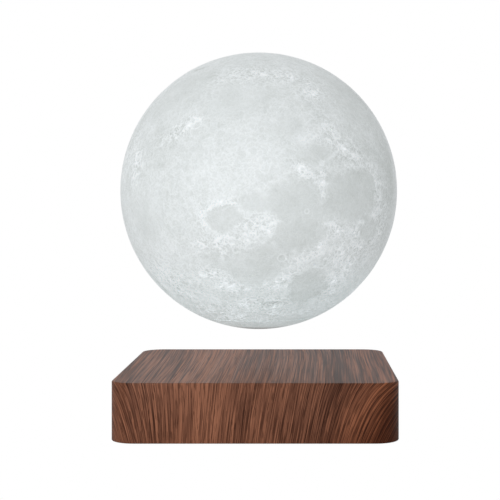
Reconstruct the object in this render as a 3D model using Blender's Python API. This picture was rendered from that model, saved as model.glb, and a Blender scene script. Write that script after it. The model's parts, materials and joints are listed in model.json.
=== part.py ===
"""Levitating moon lamp: a lit moon shell that floats over a walnut base.

The base holds a ring of magnets, four steering coils, their position sensors and a flat power
coil. The moon holds a disc magnet, a flat receiving coil and a light. Units are metres, +Z is
up, the front is -Y, and the origin is on the table under the middle of the base.
"""

import math

import bmesh
import bpy
from mathutils import Matrix, Vector

MM = 0.001

# Driving dimensions of the lamp
BASE_WIDTH = 145 * MM
BASE_DEPTH = 145 * MM
BASE_HEIGHT = 30 * MM
CORNER_RADIUS = 12.5 * MM
MOON_RADIUS = 76.2 * MM
LEVITATION_GAP = 20 * MM

# Clearances that every piece shares
SEAT_GAP = 0.3 * MM
CUT_OVERRUN = 1 * MM
WELD_DEPTH = 0.5 * MM
MERGE_DISTANCE = 0.001 * MM

# Wooden casing
CASING_WALL = 6 * MM
CASING_TOP = 3 * MM
CAVITY_CORNER_RADIUS = 22 * MM
COVER_LAND = 3 * MM
TOP_EDGE_ROUND = 0.8 * MM
LOWER_EDGE_ROUND = 0.5 * MM

# Bottom cover and feet
COVER_THICKNESS = 2.4 * MM
FOOT_RADIUS = 5 * MM
FOOT_THICKNESS = 1.8 * MM
FOOT_PROUD = 0.8 * MM
FOOT_INSET = 20 * MM
FOOT_EDGE_ROUND = 0.3 * MM
BOSS_HEIGHT = 3 * MM
BOSS_RADIUS = 3.2 * MM
BOSS_HOLE_DEPTH = 4.2 * MM
VENT_LENGTH = 20 * MM
VENT_WIDTH = 2.4 * MM
VENT_PITCH = 5.5 * MM
VENT_COLUMNS = 5
VENT_ROW_OFFSET = 13.5 * MM

# Cover screws, and the holes for the smaller screws inside
COVER_SCREW_RADIUS = 1.5 * MM
COVER_SCREW_LENGTH = 9 * MM
COVER_SCREW_HEAD_RADIUS = 2.7 * MM
COVER_SCREW_HEAD_HEIGHT = 1.5 * MM
COVER_SCREW_POINT = 0.6 * MM
MODULE_HOLE_RADIUS = 1.5 * MM
MODULE_HEAD_HOLE_RADIUS = 2.7 * MM
MODULE_HEAD_SINK = 2 * MM
SMALL_HOLE_RADIUS = 1.1 * MM
SMALL_HOLE_DEPTH = 3 * MM

# Main circuit board
BOARD_THICKNESS = 1.6 * MM
BOARD_SIDE_MARGIN = 10 * MM
BOARD_FRONT_MARGIN = 2 * MM
BOARD_BACK_MARGIN = 0.6 * MM
BOARD_CORNER_RADIUS = 20 * MM
BACK_SCREW_SPREAD = 26 * MM
BACK_SCREW_INSET = 8 * MM

# Steering coils round the middle
COIL_CIRCLE_RADIUS = 17.5 * MM
COIL_HEADROOM = 1.4 * MM
BOBBIN_FLANGE_RADIUS = 8 * MM
BOBBIN_FLANGE = 0.8 * MM
BOBBIN_WALL = 0.9 * MM
CORE_RADIUS = 3 * MM

# Magnet ring
MAGNET_COUNT = 8
CARRIER_COIL_CLEARANCE = 2.6 * MM
CARRIER_SOCKET_CLEARANCE = 0.5 * MM
CARRIER_WALL = 2.6 * MM
CARRIER_FLOOR = 1.5 * MM
CARRIER_RIM = 0.3 * MM
LEG_COUNT = 4
LEG_HEIGHT = 3 * MM
LEG_RADIUS = 3.6 * MM

# Flat power coil over the magnets
FORMER_THICKNESS = 1.5 * MM
FORMER_RIM_HEIGHT = 1.6 * MM
FORMER_RIM = 1.5 * MM
FORMER_BORE_RADIUS = 14 * MM
POWER_WIRE_RADIUS = 0.8 * MM
POWER_TURNS = 8
POWER_EYE_SHARE = 0.57
POWER_COIL_MARGIN = 2 * MM
POWER_COIL_HEADROOM = 2.6 * MM

# Position sensors in the middle
SENSOR_COUNT = 3
POST_WIDTH = 6 * MM
POST_HEIGHT = 9 * MM
SENSOR_WIDTH = 4.1 * MM
SENSOR_HEIGHT = 3 * MM
SENSOR_THICKNESS = 1.4 * MM
SMALL_BEVEL = 0.25 * MM

# Power socket at the back
JACK_WIDTH = 11.4 * MM
JACK_DEPTH = 13 * MM
JACK_HEIGHT = 12 * MM
JACK_MOUTH_HEIGHT = 6.4 * MM
JACK_COLLAR_RADIUS = 5.1 * MM
JACK_COLLAR_LENGTH = 2 * MM
JACK_COLLAR_CLEARANCE = 0.4 * MM
JACK_BORE_RADIUS = 3.1 * MM
JACK_BORE_DEPTH = 11 * MM
JACK_PIN_RADIUS = 1.05 * MM
JACK_PIN_SINK = 1.2 * MM
JACK_PIN_TAIL = 0.8 * MM
JACK_EDGE = 0.6 * MM

# Small parts on the main board
CAPACITOR_RADIUS = 4 * MM
CAPACITOR_HEIGHT = 10 * MM
CAPACITOR_EDGE = 0.5 * MM
CAPACITOR_SIDE_INSET = 18.5 * MM
CAPACITOR_BACK_INSET = 16 * MM
INDUCTOR_WIDTH = 8 * MM
INDUCTOR_HEIGHT = 4 * MM
INDUCTOR_OFFSET = 16 * MM
INDUCTOR_BACK_INSET = 6 * MM
CHIP_LENGTH = 5 * MM
CHIP_WIDTH = 4 * MM
CHIP_HEIGHT = 1.6 * MM
CHIP_COIL_CLEARANCE = 2.5 * MM
CONTROLLER_WIDTH = 9 * MM
CONTROLLER_HEIGHT = 1.4 * MM
CONTROLLER_FRONT_INSET = 12 * MM
CONTROLLER_OFFSET = 24 * MM

# Touch switch under the top of the casing, behind its front edge
TOUCH_LENGTH = 30 * MM
TOUCH_WIDTH = 9 * MM
TOUCH_THICKNESS = 0.5 * MM
TOUCH_INSET = 2 * MM
SPRING_WIRE_RADIUS = 0.4 * MM
SPRING_FOOT_RADIUS = 3.2 * MM
SPRING_TIP_RADIUS = 1.8 * MM
SPRING_TURNS = 6

# Moon shell and its cap
SHELL_WALL = 1.7 * MM
CAP_RADIUS = 32 * MM
COLLAR_WIDTH = 2.5 * MM
COLLAR_HEIGHT = 6 * MM
CAP_FLANGE = 1.9 * MM
BASIN_DEPTH = 0.5 * MM
CRATER_DEPTH = 0.7 * MM
RELIEF_FADE_HEIGHT = 8 * MM

# Pieces inside the moon
SPIGOT_WALL = 4.9 * MM
MOON_MAGNET_THICKNESS = 8 * MM
MOON_MAGNET_EDGE = 0.5 * MM
MAGNET_LEDGE = 2.5 * MM
POCKET_FLOOR = 2.4 * MM
RECEIVING_WIRE_RADIUS = 0.65 * MM
RECEIVING_TURNS = 7
RECEIVING_EYE_SHARE = 0.37
RECEIVING_COIL_MARGIN = 0.8 * MM
SPIGOT_CLEARANCE = 0.6 * MM
RECEIVER_BOARD_THICKNESS = 1.2 * MM
POST_COUNT = 3
RECEIVER_CAN_RADIUS = 3.1 * MM
RECEIVER_CAN_HEIGHT = 6.5 * MM
RECEIVER_CAN_INSET = 3.3 * MM
RECEIVER_CHIP_OFFSET = 7 * MM
STANDOFF_RADIUS = 2.6 * MM
STANDOFF_HEIGHT = 8 * MM
STANDOFF_CIRCLE_RADIUS = 12.5 * MM
LIGHT_BOARD_RADIUS = 18 * MM
LIGHT_BOARD_THICKNESS = 1.6 * MM
LIGHT_RADIUS = 7 * MM
LIGHT_RIM_HEIGHT = 0.8 * MM
LIGHT_LENS_RADIUS = 5.5 * MM
LIGHT_LENS_RISE = 0.9 * MM
LEAD_RADIUS = 0.5 * MM
LEAD_SPREAD = 3 * MM
LEAD_EDGE_GAP = 1 * MM

# Facets of round shapes
CORNER_STEPS = 6
SLOT_END_STEPS = 2
EDGE_STEPS = 2
SHELL_SEGMENTS = 48
UPPER_ARC_STEPS = 11
LOWER_ARC_STEPS = 9
INNER_ARC_STEPS = 7
CAP_ARC_STEPS = 3
DISC_SEGMENTS = 32
RING_SEGMENTS = 20
ROUND_SEGMENTS = 16
COIL_SEGMENTS = 12
SCREW_SEGMENTS = 10
STANDOFF_SIDES = 6
LEAD_SEGMENTS = 6
LOOP_POINTS = 16
CURL_POINTS = 8
SHARP_ANGLE = math.radians(35)
BACKWARDS = (-math.pi / 2, 0, 0)

# Lowland basins and large craters of the moon: azimuth and elevation of the middle and angular
# radius, in degrees. Azimuth 0 faces the front and grows to the right.
BASINS = (
    (37, 0, 13),
    (16, -8, 12),
    (-11, -11, 7),
    (1, -31, 11),
    (28, -40, 8),
    (54, -16, 6),
    (25, 15, 6),
    (-42, 44, 13),
    (37, -65, 7),
    (118, 20, 16),
    (150, -22, 12),
    (-152, 8, 13),
)
CRATERS = (
    (38, 17, 5),
    (-26, 26, 6),
    (-55, 13, 5),
    (-12, -40, 5),
    (-75, 15, 8),
    (63, 38, 7),
    (-12, 62, 8),
    (-100, -28, 9),
    (178, 34, 9),
    (-128, 48, 8),
    (135, 58, 7),
    (80, -42, 8),
    (-168, -38, 8),
)
BASIN_SHORE_SHARE = 0.6

CORNER_NAMES = ("front_left", "front_right", "back_left", "back_right")
SIDE_NAMES = ("left", "right")
COIL_NAMES = ("right", "back", "left", "front")

# Heights in the base, from the underside of the casing
COVER_TOP = COVER_THICKNESS
BOSS_TOP = COVER_TOP + BOSS_HEIGHT
BOARD_BOTTOM = BOSS_TOP + SEAT_GAP
BOARD_TOP = BOARD_BOTTOM + BOARD_THICKNESS
ON_BOARD = BOARD_TOP + SEAT_GAP
CARRIER_BOTTOM = ON_BOARD + LEG_HEIGHT
POCKET_BOTTOM = CARRIER_BOTTOM + CARRIER_FLOOR
MAGNET_BOTTOM = POCKET_BOTTOM + SEAT_GAP
CAVITY_TOP = BASE_HEIGHT - CASING_TOP
POWER_COIL_HEIGHT = CAVITY_TOP - POWER_COIL_HEADROOM - POWER_WIRE_RADIUS
FORMER_TOP = POWER_COIL_HEIGHT - POWER_WIRE_RADIUS - SEAT_GAP
FORMER_BOTTOM = FORMER_TOP - FORMER_THICKNESS
CARRIER_TOP = FORMER_BOTTOM - SEAT_GAP
MAGNET_TOP = CARRIER_TOP - CARRIER_RIM
COIL_TOP = FORMER_BOTTOM - COIL_HEADROOM
JACK_AXIS_HEIGHT = ON_BOARD + JACK_MOUTH_HEIGHT

# Plan sizes in the base, as half widths and half depths
CAVITY_HALF = Vector((BASE_WIDTH / 2 - CASING_WALL, BASE_DEPTH / 2 - CASING_WALL))
REBATE_HALF = CAVITY_HALF + Vector((COVER_LAND, COVER_LAND))
REBATE_CORNER_RADIUS = CORNER_RADIUS - CASING_WALL + COVER_LAND
BOARD_HALF_WIDTH = CAVITY_HALF.x - BOARD_SIDE_MARGIN
BOARD_FRONT = -(CAVITY_HALF.y - BOARD_FRONT_MARGIN)
BOARD_BACK = CAVITY_HALF.y - BOARD_BACK_MARGIN

# Ring of magnets: it fills the room between the steering coils and the power socket
SOCKET_REACH = SEAT_GAP + JACK_DEPTH + JACK_PIN_TAIL
CARRIER_OUTER_RADIUS = min(CAVITY_HALF) - SOCKET_REACH - CARRIER_SOCKET_CLEARANCE
COILS_OUTER_RADIUS = COIL_CIRCLE_RADIUS + BOBBIN_FLANGE_RADIUS
CARRIER_INNER_RADIUS = COILS_OUTER_RADIUS + CARRIER_COIL_CLEARANCE
MAGNET_CIRCLE_RADIUS = (CARRIER_OUTER_RADIUS + CARRIER_INNER_RADIUS) / 2
POCKET_REACH = (CARRIER_OUTER_RADIUS - CARRIER_INNER_RADIUS) / 2 - CARRIER_WALL
BASE_MAGNET_RADIUS = POCKET_REACH - SEAT_GAP
CHIP_CIRCLE_RADIUS = COILS_OUTER_RADIUS + CHIP_COIL_CLEARANCE + CHIP_WIDTH / 2

# Heights in the moon, from its centre
MOON_INNER_RADIUS = MOON_RADIUS - SHELL_WALL
OPENING_ANGLE = math.asin(CAP_RADIUS / MOON_RADIUS)
OPENING_HEIGHT = -MOON_RADIUS * math.cos(OPENING_ANGLE)
COLLAR_BOTTOM = OPENING_HEIGHT + CAP_FLANGE
COLLAR_TOP = COLLAR_BOTTOM + COLLAR_HEIGHT
COLLAR_INNER_RADIUS = CAP_RADIUS - COLLAR_WIDTH
COLLAR_OUTER_RADIUS = CAP_RADIUS + SHELL_WALL
SPIGOT_RADIUS = COLLAR_INNER_RADIUS - SEAT_GAP
POCKET_RADIUS = SPIGOT_RADIUS - SPIGOT_WALL
MOON_MAGNET_RADIUS = POCKET_RADIUS - SEAT_GAP
POCKET_SEAT = POCKET_FLOOR - math.sqrt(MOON_RADIUS**2 - POCKET_RADIUS**2)
MOON_MAGNET_BOTTOM = POCKET_SEAT + SEAT_GAP
MOON_MAGNET_TOP = MOON_MAGNET_BOTTOM + MOON_MAGNET_THICKNESS
RECEIVING_COIL_HEIGHT = MOON_MAGNET_TOP + SEAT_GAP + RECEIVING_WIRE_RADIUS
SPIGOT_TOP = RECEIVING_COIL_HEIGHT + RECEIVING_WIRE_RADIUS + SPIGOT_CLEARANCE
RECEIVER_BOTTOM = SPIGOT_TOP + SEAT_GAP
RECEIVER_TOP = RECEIVER_BOTTOM + RECEIVER_BOARD_THICKNESS
STANDOFF_BOTTOM = RECEIVER_TOP + SEAT_GAP
LIGHT_BOARD_BOTTOM = STANDOFF_BOTTOM + STANDOFF_HEIGHT + SEAT_GAP
LIGHT_BOARD_TOP = LIGHT_BOARD_BOTTOM + LIGHT_BOARD_THICKNESS
SPIGOT_SCREW_RADIUS = (SPIGOT_RADIUS + POCKET_RADIUS) / 2
RECEIVER_BOARD_RADIUS = SPIGOT_RADIUS - SEAT_GAP


def clear_scene():
    """Empties the scene that the script starts in."""
    for item in list(bpy.data.objects):
        bpy.data.objects.remove(item, do_unlink=True)


def linear(hex_colour):
    """An sRGB hex colour as linear red, green, blue and alpha."""
    channels = [int(hex_colour[start : start + 2], 16) / 255 for start in (1, 3, 5)]
    return [c / 12.92 if c <= 0.04045 else ((c + 0.055) / 1.055) ** 2.4 for c in channels] + [1]


def finish(name, hex_colour, roughness, metallic=0.0):
    """A Principled material of one colour."""
    material = bpy.data.materials.new(name)
    material.use_nodes = True
    shader = material.node_tree.nodes["Principled BSDF"]
    shader.inputs["Base Color"].default_value = linear(hex_colour)
    shader.inputs["Roughness"].default_value = roughness
    shader.inputs["Metallic"].default_value = metallic
    material.diffuse_color = linear(hex_colour)
    return material


def frame_at(name, height):
    """An empty on the vertical axis that carries one assembly."""
    empty = bpy.data.objects.new(name, None)
    empty.location = (0, 0, height)
    bpy.context.collection.objects.link(empty)
    return empty


def place(name, shape, material, parent, location=(0, 0, 0), rotation=(0, 0, 0)):
    """Turns a bmesh or a curve into a named object on its parent."""
    if isinstance(shape, bmesh.types.BMesh):
        data = bpy.data.meshes.new(name)
        shape.to_mesh(data)
        shape.free()
        data.shade_smooth()
        data.set_sharp_from_angle(angle=SHARP_ANGLE)
    else:
        data = shape
    data.materials.append(material)
    part = bpy.data.objects.new(name, data)
    part.parent = parent
    part.location = location
    part.rotation_euler = rotation
    bpy.context.collection.objects.link(part)
    return part


def place_each(stem, names, shape_of, material, parent, places):
    """Places one object for each name, at its own place and turn."""
    for name, (location, turn) in zip(names, places):
        place(f"{stem}_{name}", shape_of(), material, parent, location, (0, 0, turn))


def reshape(part, helper_shape, operation, location=(0, 0, 0), rotation=(0, 0, 0)):
    """Cuts a helper shape out of a part, or joins it on, in the part's own parent frame."""
    name = f"{part.name}_{operation.lower()}_{len(part.modifiers)}"
    helper = place(name, helper_shape, part.data.materials[0], part.parent, location, rotation)
    helper.hide_render = True
    helper.display_type = "WIRE"
    modifier = part.modifiers.new(name, "BOOLEAN")
    modifier.operation = operation
    modifier.solver = "EXACT"
    modifier.object = helper


def cut(part, helper_shape, location=(0, 0, 0), rotation=(0, 0, 0)):
    reshape(part, helper_shape, "DIFFERENCE", location, rotation)


def join(part, helper_shape, location=(0, 0, 0), rotation=(0, 0, 0)):
    reshape(part, helper_shape, "UNION", location, rotation)


def turned(profile, segments):
    """Spins a profile of (radius, height) points round Z. A profile that starts and ends on the
    axis stays open there, and any other profile is a closed loop."""
    shape = bmesh.new()
    points = [shape.verts.new((radius, 0, height)) for radius, height in profile]
    edges = [shape.edges.new(pair) for pair in zip(points, points[1:])]
    if profile[0][0] or profile[-1][0]:
        edges.append(shape.edges.new((points[-1], points[0])))
    bmesh.ops.spin(
        shape,
        geom=points + edges,
        cent=(0, 0, 0),
        axis=(0, 0, 1),
        angle=2 * math.pi,
        steps=segments,
    )
    bmesh.ops.remove_doubles(shape, verts=shape.verts, dist=MERGE_DISTANCE)
    bmesh.ops.recalc_face_normals(shape, faces=shape.faces)
    return shape


def disc(radius, low, high, segments=ROUND_SEGMENTS, edge=0.0):
    """A round plate or pin between two heights, with both rims chamfered by edge."""
    if not edge:
        return turned([(0, low), (radius, low), (radius, high), (0, high)], segments)
    inner = radius - edge
    sides = [(inner, low), (radius, low + edge), (radius, high - edge), (inner, high)]
    return turned([(0, low), *sides, (0, high)], segments)


def ring(inner, outer, low, high, segments=RING_SEGMENTS):
    """A tube or washer between two radii and two heights."""
    return turned([(inner, low), (outer, low), (outer, high), (inner, high)], segments)


def block(width, depth, height, edge=0.0):
    """A box that stands on z = 0 with its middle on the axis."""
    shape = bmesh.new()
    bmesh.ops.create_cube(shape, size=1)
    bmesh.ops.translate(shape, verts=shape.verts, vec=(0, 0, 0.5))
    bmesh.ops.scale(shape, verts=shape.verts, vec=(width, depth, height))
    if edge:
        bmesh.ops.bevel(shape, geom=shape.edges, offset=edge, segments=1, affect="EDGES")
    return shape


def rounded_outline(half_width, half_depth, radius, middle_y=0.0):
    """The points of a rectangle with round corners, anticlockwise."""
    points = []
    for quarter in range(4):
        sign_x = 1 if quarter in (0, 3) else -1
        sign_y = 1 if quarter in (0, 1) else -1
        for step in range(CORNER_STEPS + 1):
            angle = math.radians(90 * (quarter + step / CORNER_STEPS))
            x = sign_x * (half_width - radius) + radius * math.cos(angle)
            y = sign_y * (half_depth - radius) + radius * math.sin(angle)
            points.append((x, middle_y + y))
    return points


def slot_outline(length, width):
    """The points of a straight slot along Y with half-round ends."""
    points = []
    for end, start in ((1, 0), (-1, math.pi)):
        for step in range(SLOT_END_STEPS + 1):
            angle = start + math.pi * step / SLOT_END_STEPS
            y = end * (length - width) / 2 + width / 2 * math.sin(angle)
            points.append((width / 2 * math.cos(angle), y))
    return points


def lofted(levels):
    """A closed solid through (outline, height) levels whose outlines have as many points."""
    shape = bmesh.new()
    loops = []
    for outline, height in levels:
        loops.append([shape.verts.new((x, y, height)) for x, y in outline])
    for lower, upper in zip(loops, loops[1:]):
        for here in range(len(lower)):
            after = (here + 1) % len(lower)
            shape.faces.new((lower[here], lower[after], upper[after], upper[here]))
    shape.faces.new(reversed(loops[0]))
    shape.faces.new(loops[-1])
    bmesh.ops.recalc_face_normals(shape, faces=shape.faces)
    return shape


def repeated(shape, places):
    """Copies of a shape in one bmesh, for a cut or a join. A place is a location and a turn."""
    source = bpy.data.meshes.new("repeated_shape")
    shape.to_mesh(source)
    shape.free()
    result = bmesh.new()
    for location, turn in places:
        before = len(result.verts)
        result.from_mesh(source)
        result.verts.ensure_lookup_table()
        matrix = Matrix.Translation(location) @ Matrix.Rotation(turn, 4, "Z")
        bmesh.ops.transform(result, verts=result.verts[before:], matrix=matrix)
    bpy.data.meshes.remove(source)
    return result


def on_circle(count, radius, height=0.0, start=0.0):
    """Places round the vertical axis, each turned to face outwards."""
    places = []
    for number in range(count):
        angle = start + 2 * math.pi * number / count
        location = Vector((radius * math.cos(angle), radius * math.sin(angle), height))
        places.append((location, angle))
    return places


def at_corners(x, y, height=0.0):
    """The four places at plus or minus x and y, in the order of CORNER_NAMES."""
    return [(Vector((sx * x, sy * y, height)), 0.0) for sy in (-1, 1) for sx in (-1, 1)]


def at_sides(x, y, height=0.0):
    """The two places at plus or minus x, in the order of SIDE_NAMES."""
    return [(Vector((side * x, y, height)), 0.0) for side in (-1, 1)]


def corner_reach(half, radius):
    """How far from the middle a round corner reaches along each axis, on its diagonal."""
    return half - radius * (1 - math.sqrt(0.5))


def wire(name, points, radius, facets):
    """A round wire through the points, as a bevelled curve with closed ends."""
    curve = bpy.data.curves.new(name, "CURVE")
    curve.dimensions = "3D"
    curve.bevel_depth = radius
    curve.bevel_resolution = facets
    curve.use_fill_caps = True
    spline = curve.splines.new("POLY")
    spline.points.add(len(points) - 1)
    for target, point in zip(spline.points, points):
        target.co = (*point, 1)
    return curve


def report_gap(name, points, radius, per_turn):
    """Prints the least gap between one turn of a winding and the next."""
    pairs = zip(points, points[per_turn:])
    least = min((Vector(a) - Vector(b)).length for a, b in pairs) - 2 * radius
    print(f"{name}: least gap between turns {least / MM:.2f} mm")


def flat_spiral(name, outer, eye_share, turns, height, radius):
    """A flat winding of even turns, from its outer radius in to its open eye."""
    pitch = (outer * (1 - eye_share) - 2 * radius) / turns
    points = []
    for step in range(turns * LOOP_POINTS + 1):
        angle = 2 * math.pi * step / LOOP_POINTS
        reach = outer - radius - pitch * step / LOOP_POINTS
        points.append((reach * math.cos(angle), reach * math.sin(angle), height))
    report_gap(name, points, radius, LOOP_POINTS)
    return wire(name, points, radius, 0)


def make_finishes():
    """Every material of the lamp."""
    return {
        "walnut": finish("walnut", "#6B4534", 0.45),
        "black_plastic": finish("black_plastic", "#1C1C1E", 0.5),
        "rubber": finish("rubber", "#161616", 0.8),
        "steel": finish("steel", "#B9BABC", 0.35, 1.0),
        "circuit_board": finish("circuit_board", "#1F5A3A", 0.45),
        "coil_plastic": finish("coil_plastic", "#26282B", 0.5),
        "copper": finish("copper", "#B8703F", 0.35, 1.0),
        "iron": finish("iron", "#8A8A8C", 0.45, 1.0),
        "magnet": finish("magnet", "#C9CBCE", 0.25, 1.0),
        "chip": finish("chip", "#202124", 0.55),
        "can": finish("can", "#AEB1B5", 0.3, 1.0),
        "moon": finish("moon", "#E4E8E8", 0.75),
        "light_board": finish("light_board", "#E9E9E4", 0.4),
        "light": finish("light", "#E8C860", 0.4),
        "brass": finish("brass", "#C2A052", 0.3, 1.0),
    }


def edge_levels():
    """(inset, height) pairs of the casing's rounded lower and top edges, from the bottom up."""
    quarter = [math.pi / 2 * step / EDGE_STEPS for step in range(EDGE_STEPS + 1)]
    lower = []
    upper = []
    for angle in quarter:
        far, near = 1 - math.sin(angle), 1 - math.cos(angle)
        lower.append((LOWER_EDGE_ROUND * far, LOWER_EDGE_ROUND * near))
        upper.append((TOP_EDGE_ROUND * near, BASE_HEIGHT - TOP_EDGE_ROUND * far))
    return lower + upper


def make_casing(base, finishes):
    """The walnut block, hollowed from below, with corner blocks left for the cover's screws."""
    levels = []
    for inset, height in edge_levels():
        outline = rounded_outline(
            BASE_WIDTH / 2 - inset, BASE_DEPTH / 2 - inset, CORNER_RADIUS - inset
        )
        levels.append((outline, height))
    casing = place("walnut_casing", lofted(levels), finishes["walnut"], base)

    cavity = rounded_outline(CAVITY_HALF.x, CAVITY_HALF.y, CAVITY_CORNER_RADIUS)
    cut(casing, lofted([(cavity, -CUT_OVERRUN), (cavity, CAVITY_TOP)]))
    rebate = rounded_outline(REBATE_HALF.x, REBATE_HALF.y, REBATE_CORNER_RADIUS)
    cut(casing, lofted([(rebate, -CUT_OVERRUN), (rebate, COVER_THICKNESS + SEAT_GAP)]))

    pilot_radius = COVER_SCREW_RADIUS + SEAT_GAP
    pilot_top = COVER_SCREW_HEAD_HEIGHT + COVER_SCREW_LENGTH + SEAT_GAP
    pilot = disc(pilot_radius, COVER_THICKNESS - CUT_OVERRUN, pilot_top, SCREW_SEGMENTS)
    cut(casing, repeated(pilot, cover_screw_places()))

    hole_radius = JACK_COLLAR_RADIUS + JACK_COLLAR_CLEARANCE
    cut(
        casing,
        disc(hole_radius, -CUT_OVERRUN, CASING_WALL + CUT_OVERRUN, RING_SEGMENTS),
        location=(0, CAVITY_HALF.y, JACK_AXIS_HEIGHT),
        rotation=BACKWARDS,
    )


def cover_screw_places():
    """The middle of the wood that is left in each corner, between the cavity and the rebate."""
    x = corner_reach(CAVITY_HALF.x, CAVITY_CORNER_RADIUS)
    y = corner_reach(CAVITY_HALF.y, CAVITY_CORNER_RADIUS)
    outer_x = corner_reach(REBATE_HALF.x, REBATE_CORNER_RADIUS)
    outer_y = corner_reach(REBATE_HALF.y, REBATE_CORNER_RADIUS)
    return at_corners((x + outer_x) / 2, (y + outer_y) / 2)


def foot_places():
    """The places of the rubber feet."""
    return at_corners(BASE_WIDTH / 2 - FOOT_INSET, BASE_DEPTH / 2 - FOOT_INSET)


def board_screw_places():
    """The places of the screws that hold the board: under the magnet carrier's legs, midway
    between two magnets, and beside the power socket."""
    legs = on_circle(LEG_COUNT, MAGNET_CIRCLE_RADIUS, start=math.pi / MAGNET_COUNT)
    return legs, at_sides(BACK_SCREW_SPREAD, BOARD_BACK - BACK_SCREW_INSET)


def make_cover(base, finishes):
    """The moulded bottom cover: countersunk holes, foot recesses, bosses and air slots."""
    outline = rounded_outline(
        REBATE_HALF.x - SEAT_GAP, REBATE_HALF.y - SEAT_GAP, REBATE_CORNER_RADIUS - SEAT_GAP
    )
    plate = lofted([(outline, 0), (outline, COVER_THICKNESS)])
    cover = place("bottom_cover", plate, finishes["black_plastic"], base)

    legs, sides = board_screw_places()
    boss = disc(BOSS_RADIUS, COVER_TOP - WELD_DEPTH, BOSS_TOP, COIL_SEGMENTS)
    join(cover, repeated(boss, legs + sides))
    low, high = BOSS_TOP - BOSS_HOLE_DEPTH, BOSS_TOP + CUT_OVERRUN
    cut(cover, repeated(disc(MODULE_HOLE_RADIUS, low, high, SCREW_SEGMENTS), legs + sides))

    shank = COVER_SCREW_RADIUS + SEAT_GAP
    head = COVER_SCREW_HEAD_RADIUS + SEAT_GAP
    sink = COVER_SCREW_HEAD_HEIGHT + SEAT_GAP
    profile = [(0, -CUT_OVERRUN), (head, -CUT_OVERRUN), (head, 0), (shank, sink)]
    profile += [(shank, COVER_THICKNESS + CUT_OVERRUN), (0, COVER_THICKNESS + CUT_OVERRUN)]
    cut(cover, repeated(turned(profile, SCREW_SEGMENTS), cover_screw_places()))

    recess_depth = FOOT_THICKNESS - FOOT_PROUD + SEAT_GAP
    cut(cover, repeated(disc(FOOT_RADIUS + SEAT_GAP, -CUT_OVERRUN, recess_depth), foot_places()))

    slot = slot_outline(VENT_LENGTH, VENT_WIDTH)
    vent = lofted([(slot, -CUT_OVERRUN), (slot, COVER_THICKNESS + CUT_OVERRUN)])
    places = []
    for row in (-1, 1):
        for column in range(VENT_COLUMNS):
            x = (column - (VENT_COLUMNS - 1) / 2) * VENT_PITCH
            places.append((Vector((x, row * VENT_ROW_OFFSET, 0)), 0.0))
    cut(cover, repeated(vent, places))


def make_feet(base, finishes):
    """Four rubber feet that stand a little below the cover."""

    def foot():
        top = FOOT_THICKNESS - FOOT_PROUD
        return disc(FOOT_RADIUS, -FOOT_PROUD, top, ROUND_SEGMENTS, FOOT_EDGE_ROUND)

    place_each("foot", CORNER_NAMES, foot, finishes["rubber"], base, foot_places())


def make_cover_screws(base, finishes):
    """Countersunk screws through the cover into the casing's corner blocks."""
    tip = COVER_SCREW_HEAD_HEIGHT + COVER_SCREW_LENGTH
    profile = [
        (0, 0),
        (COVER_SCREW_HEAD_RADIUS, 0),
        (COVER_SCREW_RADIUS, COVER_SCREW_HEAD_HEIGHT),
        (COVER_SCREW_RADIUS, tip - COVER_SCREW_POINT),
        (COVER_SCREW_RADIUS - COVER_SCREW_POINT, tip),
        (0, tip),
    ]

    def screw():
        return turned(profile, SCREW_SEGMENTS)

    place_each(
        "cover_screw", CORNER_NAMES, screw, finishes["steel"], base, cover_screw_places()
    )


def make_main_board(base, finishes):
    """The circuit board on the cover's bosses, with its coil drivers and its controller."""
    middle = (BOARD_FRONT + BOARD_BACK) / 2
    half_depth = (BOARD_BACK - BOARD_FRONT) / 2
    outline = rounded_outline(BOARD_HALF_WIDTH, half_depth, BOARD_CORNER_RADIUS, middle)
    plate = lofted([(outline, BOARD_BOTTOM), (outline, BOARD_TOP)])
    board = place("main_board", plate, finishes["circuit_board"], base)

    sunk = BOARD_TOP - WELD_DEPTH
    driver = block(CHIP_WIDTH, CHIP_LENGTH, CHIP_HEIGHT + WELD_DEPTH)
    join(board, repeated(driver, on_circle(len(COIL_NAMES), CHIP_CIRCLE_RADIUS, sunk)))
    controller = block(CONTROLLER_WIDTH, CONTROLLER_WIDTH, CONTROLLER_HEIGHT + WELD_DEPTH)
    join(board, controller, (CONTROLLER_OFFSET, BOARD_FRONT + CONTROLLER_FRONT_INSET, sunk))

    legs, sides = board_screw_places()
    low, high = BOARD_BOTTOM - CUT_OVERRUN, BOARD_TOP + CUT_OVERRUN
    cut(board, repeated(disc(MODULE_HOLE_RADIUS, low, high, SCREW_SEGMENTS), legs + sides))


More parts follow.
